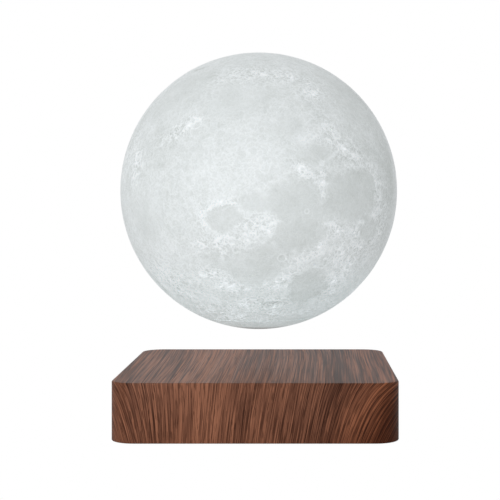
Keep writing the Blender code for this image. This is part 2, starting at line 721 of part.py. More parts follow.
def make_coils(base, finishes):
    """Four steering coils: a bobbin, its copper winding and an iron core each."""
    bore = CORE_RADIUS + SEAT_GAP
    barrel = bore + BOBBIN_WALL
    lower_face = ON_BOARD + BOBBIN_FLANGE
    upper_face = COIL_TOP - BOBBIN_FLANGE
    bobbin_profile = [
        (bore, ON_BOARD),
        (BOBBIN_FLANGE_RADIUS, ON_BOARD),
        (BOBBIN_FLANGE_RADIUS, lower_face),
        (barrel, lower_face),
        (barrel, upper_face),
        (BOBBIN_FLANGE_RADIUS, upper_face),
        (BOBBIN_FLANGE_RADIUS, COIL_TOP),
        (bore, COIL_TOP),
    ]

    def bobbin():
        return turned(bobbin_profile, COIL_SEGMENTS)

    def winding():
        inner, outer = barrel + SEAT_GAP, BOBBIN_FLANGE_RADIUS - SEAT_GAP
        low, high = lower_face + SEAT_GAP, upper_face - SEAT_GAP
        return ring(inner, outer, low, high, COIL_SEGMENTS)

    def core():
        return disc(CORE_RADIUS, ON_BOARD, COIL_TOP, COIL_SEGMENTS)

    places = on_circle(len(COIL_NAMES), COIL_CIRCLE_RADIUS)
    place_each("coil_bobbin", COIL_NAMES, bobbin, finishes["coil_plastic"], base, places)
    place_each("coil_winding", COIL_NAMES, winding, finishes["copper"], base, places)
    place_each("coil_core", COIL_NAMES, core, finishes["iron"], base, places)


def make_magnet_ring(base, finishes):
    """The moulded carrier with a pocket for each magnet and four screwed legs."""
    legs, _ = board_screw_places()
    places = on_circle(MAGNET_COUNT, MAGNET_CIRCLE_RADIUS)
    body = ring(
        CARRIER_INNER_RADIUS, CARRIER_OUTER_RADIUS, CARRIER_BOTTOM, CARRIER_TOP, DISC_SEGMENTS
    )
    carrier = place("magnet_carrier", body, finishes["black_plastic"], base)
    join(carrier, repeated(disc(LEG_RADIUS, ON_BOARD, CARRIER_BOTTOM + WELD_DEPTH), legs))
    pocket = disc(POCKET_REACH, POCKET_BOTTOM, CARRIER_TOP + CUT_OVERRUN)
    cut(carrier, repeated(pocket, places))
    shank, head = MODULE_HOLE_RADIUS, MODULE_HEAD_HOLE_RADIUS
    seat = CARRIER_TOP - MODULE_HEAD_SINK
    low, high = ON_BOARD - CUT_OVERRUN, CARRIER_TOP + CUT_OVERRUN
    profile = [(0, low), (shank, low), (shank, seat), (head, seat), (head, high), (0, high)]
    cut(carrier, repeated(turned(profile, SCREW_SEGMENTS), legs))

    def magnet():
        return disc(BASE_MAGNET_RADIUS, MAGNET_BOTTOM, MAGNET_TOP)

    numbers = range(1, MAGNET_COUNT + 1)
    place_each("base_magnet", numbers, magnet, finishes["magnet"], base, places)


def make_power_coil(base, finishes):
    """The flat coil that sends power up to the moon, in a shallow dish over the magnets."""
    rim_top = FORMER_TOP + FORMER_RIM_HEIGHT
    profile = [
        (FORMER_BORE_RADIUS, FORMER_BOTTOM),
        (CARRIER_OUTER_RADIUS, FORMER_BOTTOM),
        (CARRIER_OUTER_RADIUS, rim_top),
        (CARRIER_OUTER_RADIUS - FORMER_RIM, rim_top),
        (CARRIER_OUTER_RADIUS - FORMER_RIM, FORMER_TOP),
        (FORMER_BORE_RADIUS + FORMER_RIM, FORMER_TOP),
        (FORMER_BORE_RADIUS + FORMER_RIM, rim_top),
        (FORMER_BORE_RADIUS, rim_top),
    ]
    former = turned(profile, DISC_SEGMENTS)
    place("power_coil_former", former, finishes["black_plastic"], base)
    coil = flat_spiral(
        "power_coil",
        CARRIER_OUTER_RADIUS - FORMER_RIM - POWER_COIL_MARGIN,
        POWER_EYE_SHARE,
        POWER_TURNS,
        POWER_COIL_HEIGHT,
        POWER_WIRE_RADIUS,
    )
    place("power_coil", coil, finishes["copper"], base)


def make_sensors(base, finishes):
    """Three position sensors round a post in the middle of the steering coils."""
    post = block(POST_WIDTH, POST_WIDTH, POST_HEIGHT, SMALL_BEVEL)
    place("sensor_post", post, finishes["coil_plastic"], base, (0, 0, ON_BOARD))

    def sensor():
        return block(SENSOR_THICKNESS, SENSOR_WIDTH, SENSOR_HEIGHT, SMALL_BEVEL)

    reach = POST_WIDTH / 2 + SEAT_GAP + SENSOR_THICKNESS / 2
    sides = on_circle(len(COIL_NAMES), reach, ON_BOARD + POST_HEIGHT - SENSOR_HEIGHT)
    place_each("position_sensor", COIL_NAMES[:SENSOR_COUNT], sensor, finishes["chip"], base, sides)


def make_power_socket(base, finishes):
    """The round power socket: its collar stands in the hole of the casing's back wall."""
    face = CAVITY_HALF.y - SEAT_GAP
    body = block(JACK_WIDTH, JACK_DEPTH, JACK_HEIGHT, JACK_EDGE)
    middle = (0, face - JACK_DEPTH / 2, ON_BOARD)
    socket = place("power_socket", body, finishes["black_plastic"], base, middle)
    mouth = Vector((0, face, JACK_AXIS_HEIGHT))
    collar = disc(JACK_COLLAR_RADIUS, -WELD_DEPTH, JACK_COLLAR_LENGTH, RING_SEGMENTS)
    join(socket, collar, mouth, BACKWARDS)
    bore_end = JACK_COLLAR_LENGTH - JACK_BORE_DEPTH
    bore = disc(JACK_BORE_RADIUS, bore_end, JACK_COLLAR_LENGTH + CUT_OVERRUN)
    cut(socket, bore, mouth, BACKWARDS)
    pin_radius = JACK_PIN_RADIUS + SEAT_GAP
    pin_hole = disc(pin_radius, -JACK_DEPTH - CUT_OVERRUN, bore_end + CUT_OVERRUN, SCREW_SEGMENTS)
    cut(socket, pin_hole, mouth, BACKWARDS)
    low, high = -JACK_DEPTH - JACK_PIN_TAIL, JACK_COLLAR_LENGTH - JACK_PIN_SINK
    pin = disc(JACK_PIN_RADIUS, low, high, SCREW_SEGMENTS, SMALL_BEVEL)
    place("power_socket_pin", pin, finishes["steel"], base, mouth, BACKWARDS)


def make_board_parts(base, finishes):
    """The two capacitors and the inductor on the main board."""

    def can():
        return disc(CAPACITOR_RADIUS, 0, CAPACITOR_HEIGHT, ROUND_SEGMENTS, CAPACITOR_EDGE)

    x = BOARD_HALF_WIDTH - CAPACITOR_SIDE_INSET
    places = at_sides(x, BOARD_BACK - CAPACITOR_BACK_INSET, ON_BOARD)
    place_each("capacitor", SIDE_NAMES, can, finishes["can"], base, places)
    inductor = block(INDUCTOR_WIDTH, INDUCTOR_WIDTH, INDUCTOR_HEIGHT, JACK_EDGE)
    location = (INDUCTOR_OFFSET, BOARD_BACK - INDUCTOR_BACK_INSET, ON_BOARD)
    place("inductor", inductor, finishes["chip"], base, location)


def make_touch_switch(base, finishes):
    """The touch plate under the casing's top, and the tapered spring that joins it to the board."""
    top = CAVITY_TOP - SEAT_GAP
    y = -(CAVITY_HALF.y - TOUCH_INSET - TOUCH_WIDTH / 2)
    plate = block(TOUCH_LENGTH, TOUCH_WIDTH, TOUCH_THICKNESS)
    place("touch_plate", plate, finishes["copper"], base, (0, y, top - TOUCH_THICKNESS))

    low = ON_BOARD + SPRING_WIRE_RADIUS
    high = top - TOUCH_THICKNESS - SEAT_GAP - SPRING_WIRE_RADIUS
    steps = SPRING_TURNS * CURL_POINTS
    points = []
    for step in range(steps + 1):
        share = step / steps
        angle = 2 * math.pi * step / CURL_POINTS
        reach = SPRING_FOOT_RADIUS + (SPRING_TIP_RADIUS - SPRING_FOOT_RADIUS) * share
        height = low + (high - low) * share
        points.append((reach * math.cos(angle), reach * math.sin(angle), height))
    report_gap("touch_spring", points, SPRING_WIRE_RADIUS, CURL_POINTS)
    spring = wire("touch_spring", points, SPRING_WIRE_RADIUS, 0)
    place("touch_spring", spring, finishes["steel"], base, (0, y, 0))


def direction_at(azimuth, elevation):
    """The unit vector at an azimuth from the front and an elevation, in degrees."""
    a, e = math.radians(azimuth), math.radians(elevation)
    return Vector((math.sin(a) * math.cos(e), -math.cos(a) * math.cos(e), math.sin(e)))


def smooth_step(share):
    share = min(1, max(0, share))
    return share * share * (3 - 2 * share)


def relief(direction):
    """How far the moon's surface lies below its full radius in a direction: flat-floored
    basins with a sloping shore, and round bowls for the large craters."""
    depth = 0.0
    for azimuth, elevation, radius in BASINS:
        share = direction.angle(direction_at(azimuth, elevation)) / math.radians(radius)
        depth = max(depth, BASIN_DEPTH * smooth_step((1 - share) / (1 - BASIN_SHORE_SHARE)))
    for azimuth, elevation, radius in CRATERS:
        share = direction.angle(direction_at(azimuth, elevation)) / math.radians(radius)
        depth = max(depth, CRATER_DEPTH * (1 - min(1, share) ** 2))
    above_opening = direction.z * MOON_RADIUS - OPENING_HEIGHT
    return depth * smooth_step(above_opening / RELIEF_FADE_HEIGHT)


def arc(radius, start, end, steps):
    """(radius, height) points on a circle about the centre, by angle from straight down. An end
    at a pole lies exactly on the axis."""
    points = []
    for step in range(steps + 1):
        angle = start + (end - start) * step / steps
        reach = 0 if angle in (0, math.pi) else radius * math.sin(angle)
        points.append((reach, -radius * math.cos(angle)))
    return points


def make_moon_shell(moon, finishes):
    """The translucent moon: a thin ball with relief outside and a collar round its opening."""
    upper = arc(MOON_RADIUS, math.pi, math.pi / 2, UPPER_ARC_STEPS)
    lower = arc(MOON_RADIUS, math.pi / 2, OPENING_ANGLE, LOWER_ARC_STEPS)
    inner_start = math.asin(COLLAR_OUTER_RADIUS / MOON_INNER_RADIUS)
    inside = arc(MOON_INNER_RADIUS, inner_start, math.pi, INNER_ARC_STEPS)
    collar = [
        (CAP_RADIUS, COLLAR_BOTTOM),
        (COLLAR_INNER_RADIUS, COLLAR_BOTTOM),
        (COLLAR_INNER_RADIUS, COLLAR_TOP),
        (COLLAR_OUTER_RADIUS, COLLAR_TOP),
    ]
    shape = turned(upper[:-1] + lower + collar + inside, SHELL_SEGMENTS)
    middle_radius = MOON_RADIUS - SHELL_WALL / 2
    for vertex in shape.verts:
        if vertex.co.length > middle_radius and vertex.co.z > OPENING_HEIGHT + MERGE_DISTANCE:
            direction = vertex.co.normalized()
            vertex.co = direction * (MOON_RADIUS - relief(direction))
    place("moon_shell", shape, finishes["moon"], moon)


def make_moon_cap(moon, finishes):
    """The cap that closes the moon from below, with a pocket for the levitated magnet."""
    flange_radius = CAP_RADIUS - SEAT_GAP
    ledge_radius = POCKET_RADIUS - MAGNET_LEDGE
    outside = arc(MOON_RADIUS, 0, math.asin(flange_radius / MOON_RADIUS), CAP_ARC_STEPS)
    dish = arc(MOON_INNER_RADIUS, math.asin(ledge_radius / MOON_INNER_RADIUS), 0, CAP_ARC_STEPS)
    walls = [
        (flange_radius, COLLAR_BOTTOM - SEAT_GAP),
        (SPIGOT_RADIUS, COLLAR_BOTTOM - SEAT_GAP),
        (SPIGOT_RADIUS, SPIGOT_TOP),
        (POCKET_RADIUS, SPIGOT_TOP),
        (POCKET_RADIUS, POCKET_SEAT),
        (ledge_radius, POCKET_SEAT),
    ]
    shape = turned(outside + walls + dish, DISC_SEGMENTS)
    cap = place("moon_cap", shape, finishes["moon"], moon)
    low, high = SPIGOT_TOP - SMALL_HOLE_DEPTH, SPIGOT_TOP + CUT_OVERRUN
    hole = disc(SMALL_HOLE_RADIUS, low, high, SCREW_SEGMENTS)
    cut(cap, repeated(hole, on_circle(POST_COUNT, SPIGOT_SCREW_RADIUS)))


def make_moon_magnet(moon, finishes):
    """The disc magnet that the base holds up. It is round, so it looks the same at any turn."""
    low, high = MOON_MAGNET_BOTTOM, MOON_MAGNET_TOP
    magnet = disc(MOON_MAGNET_RADIUS, low, high, DISC_SEGMENTS, MOON_MAGNET_EDGE)
    place("moon_magnet", magnet, finishes["magnet"], moon)


def make_receiver(moon, finishes):
    """The receiving coil on the magnet, and the board on the cap's spigot with its parts."""
    coil = flat_spiral(
        "receiving_coil",
        MOON_MAGNET_RADIUS - RECEIVING_COIL_MARGIN,
        RECEIVING_EYE_SHARE,
        RECEIVING_TURNS,
        RECEIVING_COIL_HEIGHT,
        RECEIVING_WIRE_RADIUS,
    )
    place("receiving_coil", coil, finishes["copper"], moon)

    plate = disc(RECEIVER_BOARD_RADIUS, RECEIVER_BOTTOM, RECEIVER_TOP, DISC_SEGMENTS)
    board = place("receiver_board", plate, finishes["circuit_board"], moon)
    chip = block(CHIP_WIDTH, CHIP_LENGTH, CHIP_HEIGHT + WELD_DEPTH)
    between = math.pi / POST_COUNT
    sunk = RECEIVER_TOP - WELD_DEPTH
    join(board, repeated(chip, on_circle(POST_COUNT, RECEIVER_CHIP_OFFSET, sunk, between)))
    low, high = RECEIVER_BOTTOM - CUT_OVERRUN, RECEIVER_TOP + CUT_OVERRUN
    hole = disc(SMALL_HOLE_RADIUS, low, high, SCREW_SEGMENTS)
    cut(board, repeated(hole, on_circle(POST_COUNT, SPIGOT_SCREW_RADIUS)))

    def can():
        return disc(RECEIVER_CAN_RADIUS, 0, RECEIVER_CAN_HEIGHT, SCREW_SEGMENTS, CAPACITOR_EDGE)

    reach = RECEIVER_BOARD_RADIUS - RECEIVER_CAN_INSET - RECEIVER_CAN_RADIUS
    places = on_circle(2, reach, STANDOFF_BOTTOM, math.pi / 2)
    place_each("receiver_capacitor", ("back", "front"), can, finishes["can"], moon, places)


def make_light(moon, finishes):
    """The light board on three standoffs, its domed light and its two leads."""
    places = on_circle(POST_COUNT, STANDOFF_CIRCLE_RADIUS)
    top = STANDOFF_BOTTOM + STANDOFF_HEIGHT
    profile = [
        (0, STANDOFF_BOTTOM),
        (STANDOFF_RADIUS, STANDOFF_BOTTOM),
        (STANDOFF_RADIUS, top),
        (SMALL_HOLE_RADIUS, top),
        (SMALL_HOLE_RADIUS, top - SMALL_HOLE_DEPTH),
        (0, top - SMALL_HOLE_DEPTH),
    ]

    def standoff():
        return turned(profile, STANDOFF_SIDES)

    numbers = range(1, POST_COUNT + 1)
    place_each("light_standoff", numbers, standoff, finishes["brass"], moon, places)

    plate = disc(LIGHT_BOARD_RADIUS, LIGHT_BOARD_BOTTOM, LIGHT_BOARD_TOP, DISC_SEGMENTS)
    board = place("light_board", plate, finishes["light_board"], moon)
    low, high = LIGHT_BOARD_BOTTOM - CUT_OVERRUN, LIGHT_BOARD_TOP + CUT_OVERRUN
    cut(board, repeated(disc(SMALL_HOLE_RADIUS, low, high, SCREW_SEGMENTS), places))

    seat = LIGHT_BOARD_TOP + SEAT_GAP
    profile = [(0, seat), (LIGHT_RADIUS, seat), (LIGHT_RADIUS, seat + LIGHT_RIM_HEIGHT)]
    for step in range(CAP_ARC_STEPS + 1):
        angle = math.pi / 2 * step / CAP_ARC_STEPS
        reach = 0 if step == CAP_ARC_STEPS else LIGHT_LENS_RADIUS * math.cos(angle)
        profile.append((reach, seat + LIGHT_RIM_HEIGHT + LIGHT_LENS_RISE * math.sin(angle)))
    place("light", turned(profile, RING_SEGMENTS), finishes["light"], moon)

    def lead():
        high_end = LIGHT_BOARD_BOTTOM - SEAT_GAP
        return disc(LEAD_RADIUS, STANDOFF_BOTTOM, high_end, LEAD_SEGMENTS)

    reach = LIGHT_BOARD_RADIUS - LEAD_EDGE_GAP - LEAD_RADIUS
    pair = [(Vector((-reach, side * LEAD_SPREAD / 2, 0)), 0.0) for side in (-1, 1)]
    place_each("light_lead", ("front", "back"), lead, finishes["copper"], moon, pair)


def main():
    clear_scene()
    finishes = make_finishes()
    base = frame_at("base_frame", FOOT_PROUD)
    moon = frame_at("moon_frame", FOOT_PROUD + BASE_HEIGHT + LEVITATION_GAP + MOON_RADIUS)

    make_casing(base, finishes)
    make_cover(base, finishes)
    make_feet(base, finishes)
    make_cover_screws(base, finishes)
    make_main_board(base, finishes)
    make_coils(base, finishes)
    make_magnet_ring(base, finishes)
    make_power_coil(base, finishes)
    make_sensors(base, finishes)
    make_power_socket(base, finishes)
    make_board_parts(base, finishes)
    make_touch_switch(base, finishes)

    make_moon_shell(moon, finishes)
    make_moon_cap(moon, finishes)
    make_moon_magnet(moon, finishes)
    make_receiver(moon, finishes)
    make_light(moon, finishes)


main()
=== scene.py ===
"""Looks of a levitating moon lamp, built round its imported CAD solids.

The shapes are surfaces worked out with numpy, in metres, in the frame of the CAD solids: +Z is
up, the front is -Y and the floor is z = 0. The finishes are procedural materials.
"""

import json
import math
from functools import partial

import bmesh
import bpy
import numpy as np
from bpy.props import FloatProperty, FloatVectorProperty, IntProperty, PointerProperty
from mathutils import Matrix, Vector

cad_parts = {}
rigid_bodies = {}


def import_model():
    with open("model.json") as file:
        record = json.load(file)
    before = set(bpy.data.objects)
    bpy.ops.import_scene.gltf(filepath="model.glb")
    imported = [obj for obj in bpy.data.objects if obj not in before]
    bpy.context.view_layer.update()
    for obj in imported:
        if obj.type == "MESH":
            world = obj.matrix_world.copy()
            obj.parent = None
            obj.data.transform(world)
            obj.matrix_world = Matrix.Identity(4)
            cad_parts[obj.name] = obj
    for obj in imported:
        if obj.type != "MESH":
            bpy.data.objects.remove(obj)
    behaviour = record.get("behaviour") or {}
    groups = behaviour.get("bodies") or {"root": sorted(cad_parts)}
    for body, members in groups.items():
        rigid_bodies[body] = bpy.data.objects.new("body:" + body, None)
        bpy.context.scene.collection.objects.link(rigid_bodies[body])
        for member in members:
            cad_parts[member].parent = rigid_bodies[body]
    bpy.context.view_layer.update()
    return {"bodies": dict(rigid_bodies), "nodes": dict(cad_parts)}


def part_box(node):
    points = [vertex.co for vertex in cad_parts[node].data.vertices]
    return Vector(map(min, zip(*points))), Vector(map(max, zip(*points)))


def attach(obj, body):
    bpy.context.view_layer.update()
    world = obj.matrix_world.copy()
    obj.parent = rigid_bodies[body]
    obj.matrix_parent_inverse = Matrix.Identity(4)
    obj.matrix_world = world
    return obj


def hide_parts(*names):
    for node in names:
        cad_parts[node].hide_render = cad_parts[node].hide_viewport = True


bl_info = {
    "name": "Levitating Moon Lamp",
    "version": (1, 0, 0),
    "blender": (4, 5, 0),
    "location": "3D View > Sidebar > Moon Lamp",
    "description": "Builds the moon, the walnut base and the fittings of a levitating lamp",
    "category": "Object",
}

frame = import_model()

MM = 0.001
# Points closer than the first are one, and a coordinate under the second is rounding error
MERGE_DISTANCE, TINY = 0.0001 * MM, 1e-12

CORNERS = ("front_left", "front_right", "back_left", "back_right")
COILS = ("right", "back", "left", "front")
BOARD_THICK, RECEIVER_THICK = 1.6 * MM, 1.2 * MM
CLEARANCE = 0.3 * MM

# Lowlands of the moon: azimuth and elevation of the middle, half length to the east and to the
# north, and turn, all in degrees, and how dark they are. Azimuth 0 faces the front.
LOWLANDS = (
    (40, -3, 14.5, 10.5, 0, 1.0), (27, -8, 7, 5, 0, 1.0), (16, -5, 11, 8.5, 0, 1.0),
    (18, -16, 10, 8.5, 10, 1.0), (1, -5, 7.5, 3.4, 0, 0.8), (-12, -11, 6.5, 5.5, 15, 0.9),
    (1, -31, 11, 9, 20, 0.9), (-8, -29, 9, 6, 0, 0.75), (-19, -26, 5, 3.5, 0, 0.7),
    (28, -41, 8.8, 8.2, 0, 1.45), (54, -16, 6, 4.5, 0, 0.8), (25, 13, 7, 5, 20, 0.7),
    (14, 25, 6, 4, 0, 0.6), (-43, 43, 15, 9, 30, 0.7), (-63, 30, 10, 7, 40, 0.6),
    (-9, 37, 12, 7, 10, 0.5), (-51, -11, 8, 8, 0, 0.55), (36, -64, 7, 4, 0, 0.6),
    (58, 42, 10, 13, -20, 0.6), (118, 20, 17, 14, 20, 1.0), (134, 8, 10, 12, 0, 0.9),
    (150, -22, 13, 9, -20, 1.1), (-152, 8, 14, 11, 15, 1.0), (-128, -6, 8, 6, 0, 0.7),
    (176, 52, 9, 6, 0, 0.7), (-110, 34, 8, 5, 25, 0.7),
)

# Bright and dark spots, threads and areas with soft edges, and painted shade along the right limb:
# the same angles, then their strength.
PATCHES = (
    (-3, 4, 17, 12, 0, 0.13), (4, 10, 9, 8, 0, 0.08), (46, 24, 17, 22, 0, -0.1),
    # The last two here, at azimuth 62 and 66, are painted shade on the right limb, away from the
    # key light.
    (40, 12, 14, 14, 0, -0.17), (62, 4, 9, 20, 0, -0.2), (66, 46, 14, 14, 0, -0.14),
    (-43, 18, 12, 14, 0, -0.13), (-30, 22, 10, 6, 0, -0.1), (-10, -3, 14, 5, 0, 0.09),
    (45, -37, 14, 12, 0, 0.2), (15, -62, 40, 9, 0, 0.2), (-40, -33, 6, 6, 0, 0.14),
    (0, 62, 40, 12, 0, -0.06), (-40, -27, 9, 5, 0, 0.1), (1, -15, 8, 4.5, 0, 0.12),
    (15, -33, 10, 2.6, 32, 0.16), (30, -25, 8, 3, 25, 0.16), (47, -23, 11, 6, 20, 0.08),
    (20, 20, 5, 3.5, 0, 0.14), (8, 27, 12, 4, 10, 0.12), (-26, 26, 3, 3, 0, 0.08),
    (-34.7, 16.7, 2.6, 1.6, 0, -0.3), (-40.4, 9.2, 3, 1.8, 0, -0.3), (-50, 58, 3.4, 1.2, 30, -0.5),
    (-67, -42, 3, 8, -20, -0.35), (-57, -40, 2.4, 7, -20, 0.16), (-48, -44, 2, 6, -30, -0.18),
    (6.5, -35.5, 1.0, 3, -40, 0.16), (2, -50, 3.5, 1.6, 0, -0.3), (12, -50, 4, 1.8, 0, -0.3),
    # The tall dark patch at azimuth 70 is painted shade along the right limb.
    (-42, -41, 12, 6, 0, -0.06), (70, 6, 7, 35, 0, -0.32), (-56.2, 12.7, 2.2, 1.8, 0, 0.3),
    (-45.7, -7.3, 1.0, 2.6, 10, 0.2), (-38, 20, 7, 0.8, 32, 0.2), (-27, 26.5, 3.5, 0.8, 32, 0.16),
    (26.7, 10.1, 1.2, 1.2, 0, 0.55), (25.7, 5.6, 1.3, 1.5, 0, 0.3), (26.8, 2.0, 1.3, 1.8, 0, 0.36),
    (26.4, -1.2, 1.0, 1.6, 0, 0.3), (26.0, -4.6, 1.1, 1.1, 0, 0.4),
    (17.2, 8.2, 2.6, 1.0, -32, 0.2), (21.5, 5.8, 3.2, 1.0, -28, 0.3),
    (34.2, 21.5, 0.9, 6, 23, 0.3), (46.5, 12.0, 9.5, 0.9, -24, 0.28),
    (32.0, 13.2, 5.5, 0.9, 32, 0.28), (42.4, 11.4, 4, 0.9, -45, 0.22),
    (30.1, 40.0, 2.2, 1.8, 0, 0.4), (7.9, 27.5, 1.8, 1.3, 0, 0.24), (3.7, -2.2, 1.5, 1.1, 0, 0.36),
    (-5.6, -7.6, 1.1, 2.4, -35, 0.32), (-15.5, -6.4, 3.2, 1.0, 20, 0.28),
    (-19.6, -11.5, 1.0, 3.2, -12, 0.28), (-13, -18.8, 5, 1.0, 5, 0.26),
    (-3.3, -17.1, 3, 1.2, 10, 0.24), (8.0, -14.2, 1.2, 3.4, -20, 0.26),
    (-14.3, -28.1, 1.4, 2.2, 0, 0.3), (-25.1, -34.2, 2.4, 1.6, -20, 0.26),
    (-12.8, -40, 3.6, 2.4, 15, 0.3), (16.2, -23.9, 1.5, 1.2, -30, 0.4),
    (21, -27.2, 5.5, 1.1, 40, 0.24), (29.6, -20.5, 3, 1.0, 20, 0.26),
    (31, -13.2, 4.5, 1.4, -35, 0.26), (37.8, -12.3, 3, 1.0, 10, 0.22),
    (45.9, -12.3, 1.5, 1.2, 0, 0.34), (54.5, 4.4, 1.0, 4.5, 25, 0.28),
    (57.8, -1.0, 1.1, 3.2, -5, 0.26), (11.5, -42.5, 4, 1.2, 40, 0.2),
    (4.0, 51.6, 2.6, 1.4, 0, 0.2), (-30.5, 45.2, 3, 1.2, 30, 0.16),
    (55.6, -20.8, 1.2, 1.2, 0, -0.35), (150, 40, 9, 3, 20, 0.2), (-95, -18, 8, 4, -30, 0.2),
    (-170, -30, 10, 5, 10, 0.16), (100, -30, 9, 4, 0, 0.16), (128, -2, 1.2, 6, 20, 0.3),
    (-140, 24, 7, 1.0, -25, 0.28), (170, 12, 1.0, 5, 10, 0.28),
)

# Craters with rays: azimuth and elevation, reach of the rays in degrees, number and strength.
RAYED = (
    (36.7, 16.1, 9, 9, 0.45), (-25.5, 27, 7, 7, 0.1), (-12.8, -40, 6, 8, 0.2),
    (-122, 20, 12, 9, 0.5), (165, -48, 11, 11, 0.5),
)

# Rough ground, crumbled and crowded with small craters: azimuth, elevation, half sizes, turn.
ROUGH = (
    (26, 3, 3, 8, 0), (40, 14, 12, 5, -22), (33, 21, 4, 8, 20), (56, -2, 4, 10, 0),
    (33, -14, 6, 4, -20), (47, -15, 6, 5, 0), (44, -26, 12, 7, 20), (24, -25, 9, 3, 25),
    (13, -38, 9, 3.5, 38), (-13, -20, 11, 3, 5), (-14, -25, 9, 3, 0), (4, -51, 14, 6, 0),
    (20, -62, 40, 8, 0), (-30, -60, 30, 9, 0), (-48, -40, 14, 10, -20), (42, -40, 8, 10, 0),
    (60, -15, 8, 14, 0), (-68, 25, 8, 16, 0), (-20, -34, 7, 4, 0), (-12, -41, 6, 4, 0),
    (1, -14, 8, 4, 0), (-12, -6, 9, 2, 10), (-20, -11, 2, 5, 0), (-34, 23, 10, 3, 33),
    (20, 7, 6, 3, -30), (30, 41, 5, 4, 0), (-57, 10, 4, 7, 0), (0, 52, 25, 5, 0),
    (-100, -30, 20, 12, 0), (165, 10, 16, 20, 0), (90, 45, 14, 12, 0), (-160, 35, 16, 8, 0),
)

# Named craters: azimuth, elevation and radius in degrees, depth share.
CRATERS = (
    (-7.4, -23.5, 1.4, 0.7), (-12.9, -23.5, 1.3, 0.6), (-20.4, -23.6, 1.4, 0.6),
    (-16.4, -21.2, 0.9, 0.6), (-4.2, -21.3, 1.1, 0.5), (-25.1, -34.2, 1.7, 0.5),
    (11.6, -26.9, 1.6, 0.6), (36.7, 16.1, 1.7, 0.6), (26.7, 10.1, 1.0, 0.4),
    (20.3, -8.3, 0.9, 0.4), (-56, 13, 2.4, 0.6), (31, 40, 2.2, 0.5), (-11, -40, 2.6, 0.6),
    (-26, 26, 2.4, 0.5), (-2.9, -50.8, 2.2, 0.8), (2.5, -48.6, 1.9, 0.8), (13.1, -50.9, 2.3, 0.8),
    (8, -52.5, 1.5, 0.7), (52.9, 7.2, 1.5, 0.5), (48, -29, 1.7, 0.6), (40.4, -30.5, 1.4, 0.6),
    (55.6, -20.8, 1.5, 0.6), (-75, 15, 5.5, 0.7), (-12, 62, 5, 0.5), (63, 38, 4.5, 0.6),
    (-100, -28, 6.5, 0.9), (178, 34, 6.5, 0.9), (-128, 48, 6, 0.8), (135, 58, 5, 0.8),
    (80, -42, 6, 0.8), (-168, -38, 6, 0.9),
)
# The finish draws the rims of those up to this radius, in degrees
DRAWN_CRATER = 3

# Finishes with a fine grit: the group and the name of the colour, roughness, width of a grain and
# unevenness in millimetres, and whether it is a metal. Grains are drawn coarser than real ones,
# so that they show.
FINISHES = {
    # Dull black with a soft, slightly dimpled skin
    "moulded_rubber": ("base", "rubber", 0.75, 0.5, 0.03, 0),
    # Cool grey with a clear shine
    "zinc_plated_steel": ("metal", "zinc", 0.3, 0.4, 0.004, 1),
    # A warm mirror with faint waves
    "nickel_plated_magnet": ("metal", "nickel", 0.16, 1.5, 0.002, 1),
    # Dark grey and dull
    "soft_iron": ("metal", "iron", 0.42, 0.5, 0.006, 1),
    # Bright and satin
    "drawn_aluminium": ("metal", "aluminium", 0.26, 0.8, 0.003, 1),
    # Reddish, with a satin skin
    "tinned_copper_lead": ("metal", "copper", 0.3, 0.5, 0.003, 1),
    # Black with a half gloss and a fine grain
    "moulded_nylon": ("base", "plastic", 0.42, 0.6, 0.01, 0),
    # Red gloss of lacquered wire
    "enamelled_copper": ("metal", "copper", 0.25, 0.8, 0.003, 1),
    # Grey drawn wire
    "spring_steel": ("metal", "zinc", 0.3, 0.6, 0.003, 1),
    # Black, smooth and glossy round the hole
    "glossy_nylon": ("base", "plastic", 0.32, 0.4, 0.006, 0),
    # A small bright mirror
    "nickel_plated_pin": ("metal", "nickel", 0.2, 1, 0.002, 1),
    # Black with the even grain of an eroded mould
    "moulded_abs": ("base", "plastic", 0.5, 0.45, 0.02, 0),
    # The same on the sensors' post
    "pressed_nylon": ("base", "plastic", 0.42, 0.6, 0.01, 0),
    # Dull near black
    "moulded_epoxy": ("metal", "chip", 0.55, 0.25, 0.008, 0),
    # Bright yellow from the lathe
    "turned_brass": ("metal", "brass", 0.24, 0.5, 0.003, 1),
    # Smooth reddish strip
    "rolled_copper": ("metal", "copper", 0.3, 0.9, 0.003, 1),
}
# How far the colour and the roughness of these finishes vary
COLOUR_SPREAD, ROUGHNESS_SPREAD = 0.12, 0.08


def linear(hex_colour):
    """An sRGB hex colour as linear red, green and blue."""
    channels = [int(hex_colour[start : start + 2], 16) / 255 for start in (1, 3, 5)]
    return tuple(c / 12.92 if c <= 0.04045 else ((c + 0.055) / 1.055) ** 2.4 for c in channels)


def colour(name, description, hex_colour):
    """A colour that a user can pick."""
    span = {"size": 3, "min": 0, "max": 1, "default": linear(hex_colour)}
    return FloatVectorProperty(name=name, description=description, subtype="COLOR", **span)


def length(name, description, millimetres):
    """A length that a user can set."""
    span = {"min": 0, "precision": 5, "default": millimetres * MM}
    return FloatProperty(name=name, description=description, unit="LENGTH", **span)


def amount(name, description, default, unit="NONE"):
    """A strength or a power that a user can set."""
    return FloatProperty(name=name, description=description, unit=unit, default=default)


def count(name, description, default):
    """A whole number that a user can set."""
    return IntProperty(name=name, description=description, default=default)


class LampMoon(bpy.types.PropertyGroup):
    """Sizes and colours of the moon."""

    wall: length("Wall", "Thickness of the shell", 1.7)
    lowland_depth: length("Lowland depth", "How far the lowlands lie below the highlands", 0.22)
    crater_depth: length("Crater depth", "Depth of a deep crater", 0.5)
    roughness_height: length("Ground roughness", "Height of the uneven ground", 0.035)
    crater_count: count("Small craters", "How many small craters are scattered", 420)
    seed: count("Seed", "Start of the random scatter", 7)
    columns: count("Columns", "Faces round the shell", 448)
    rows: count("Rows", "Faces from the pole to the cap", 186)
    bright: colour("Bright ground", "Rays and young craters", "#E7EBEE")
    dark: colour("Dark ground", "Floors of the lowlands", "#A9AEAC")
    glow: amount("Glow", "Light of the lamp through the shell", 0.5)


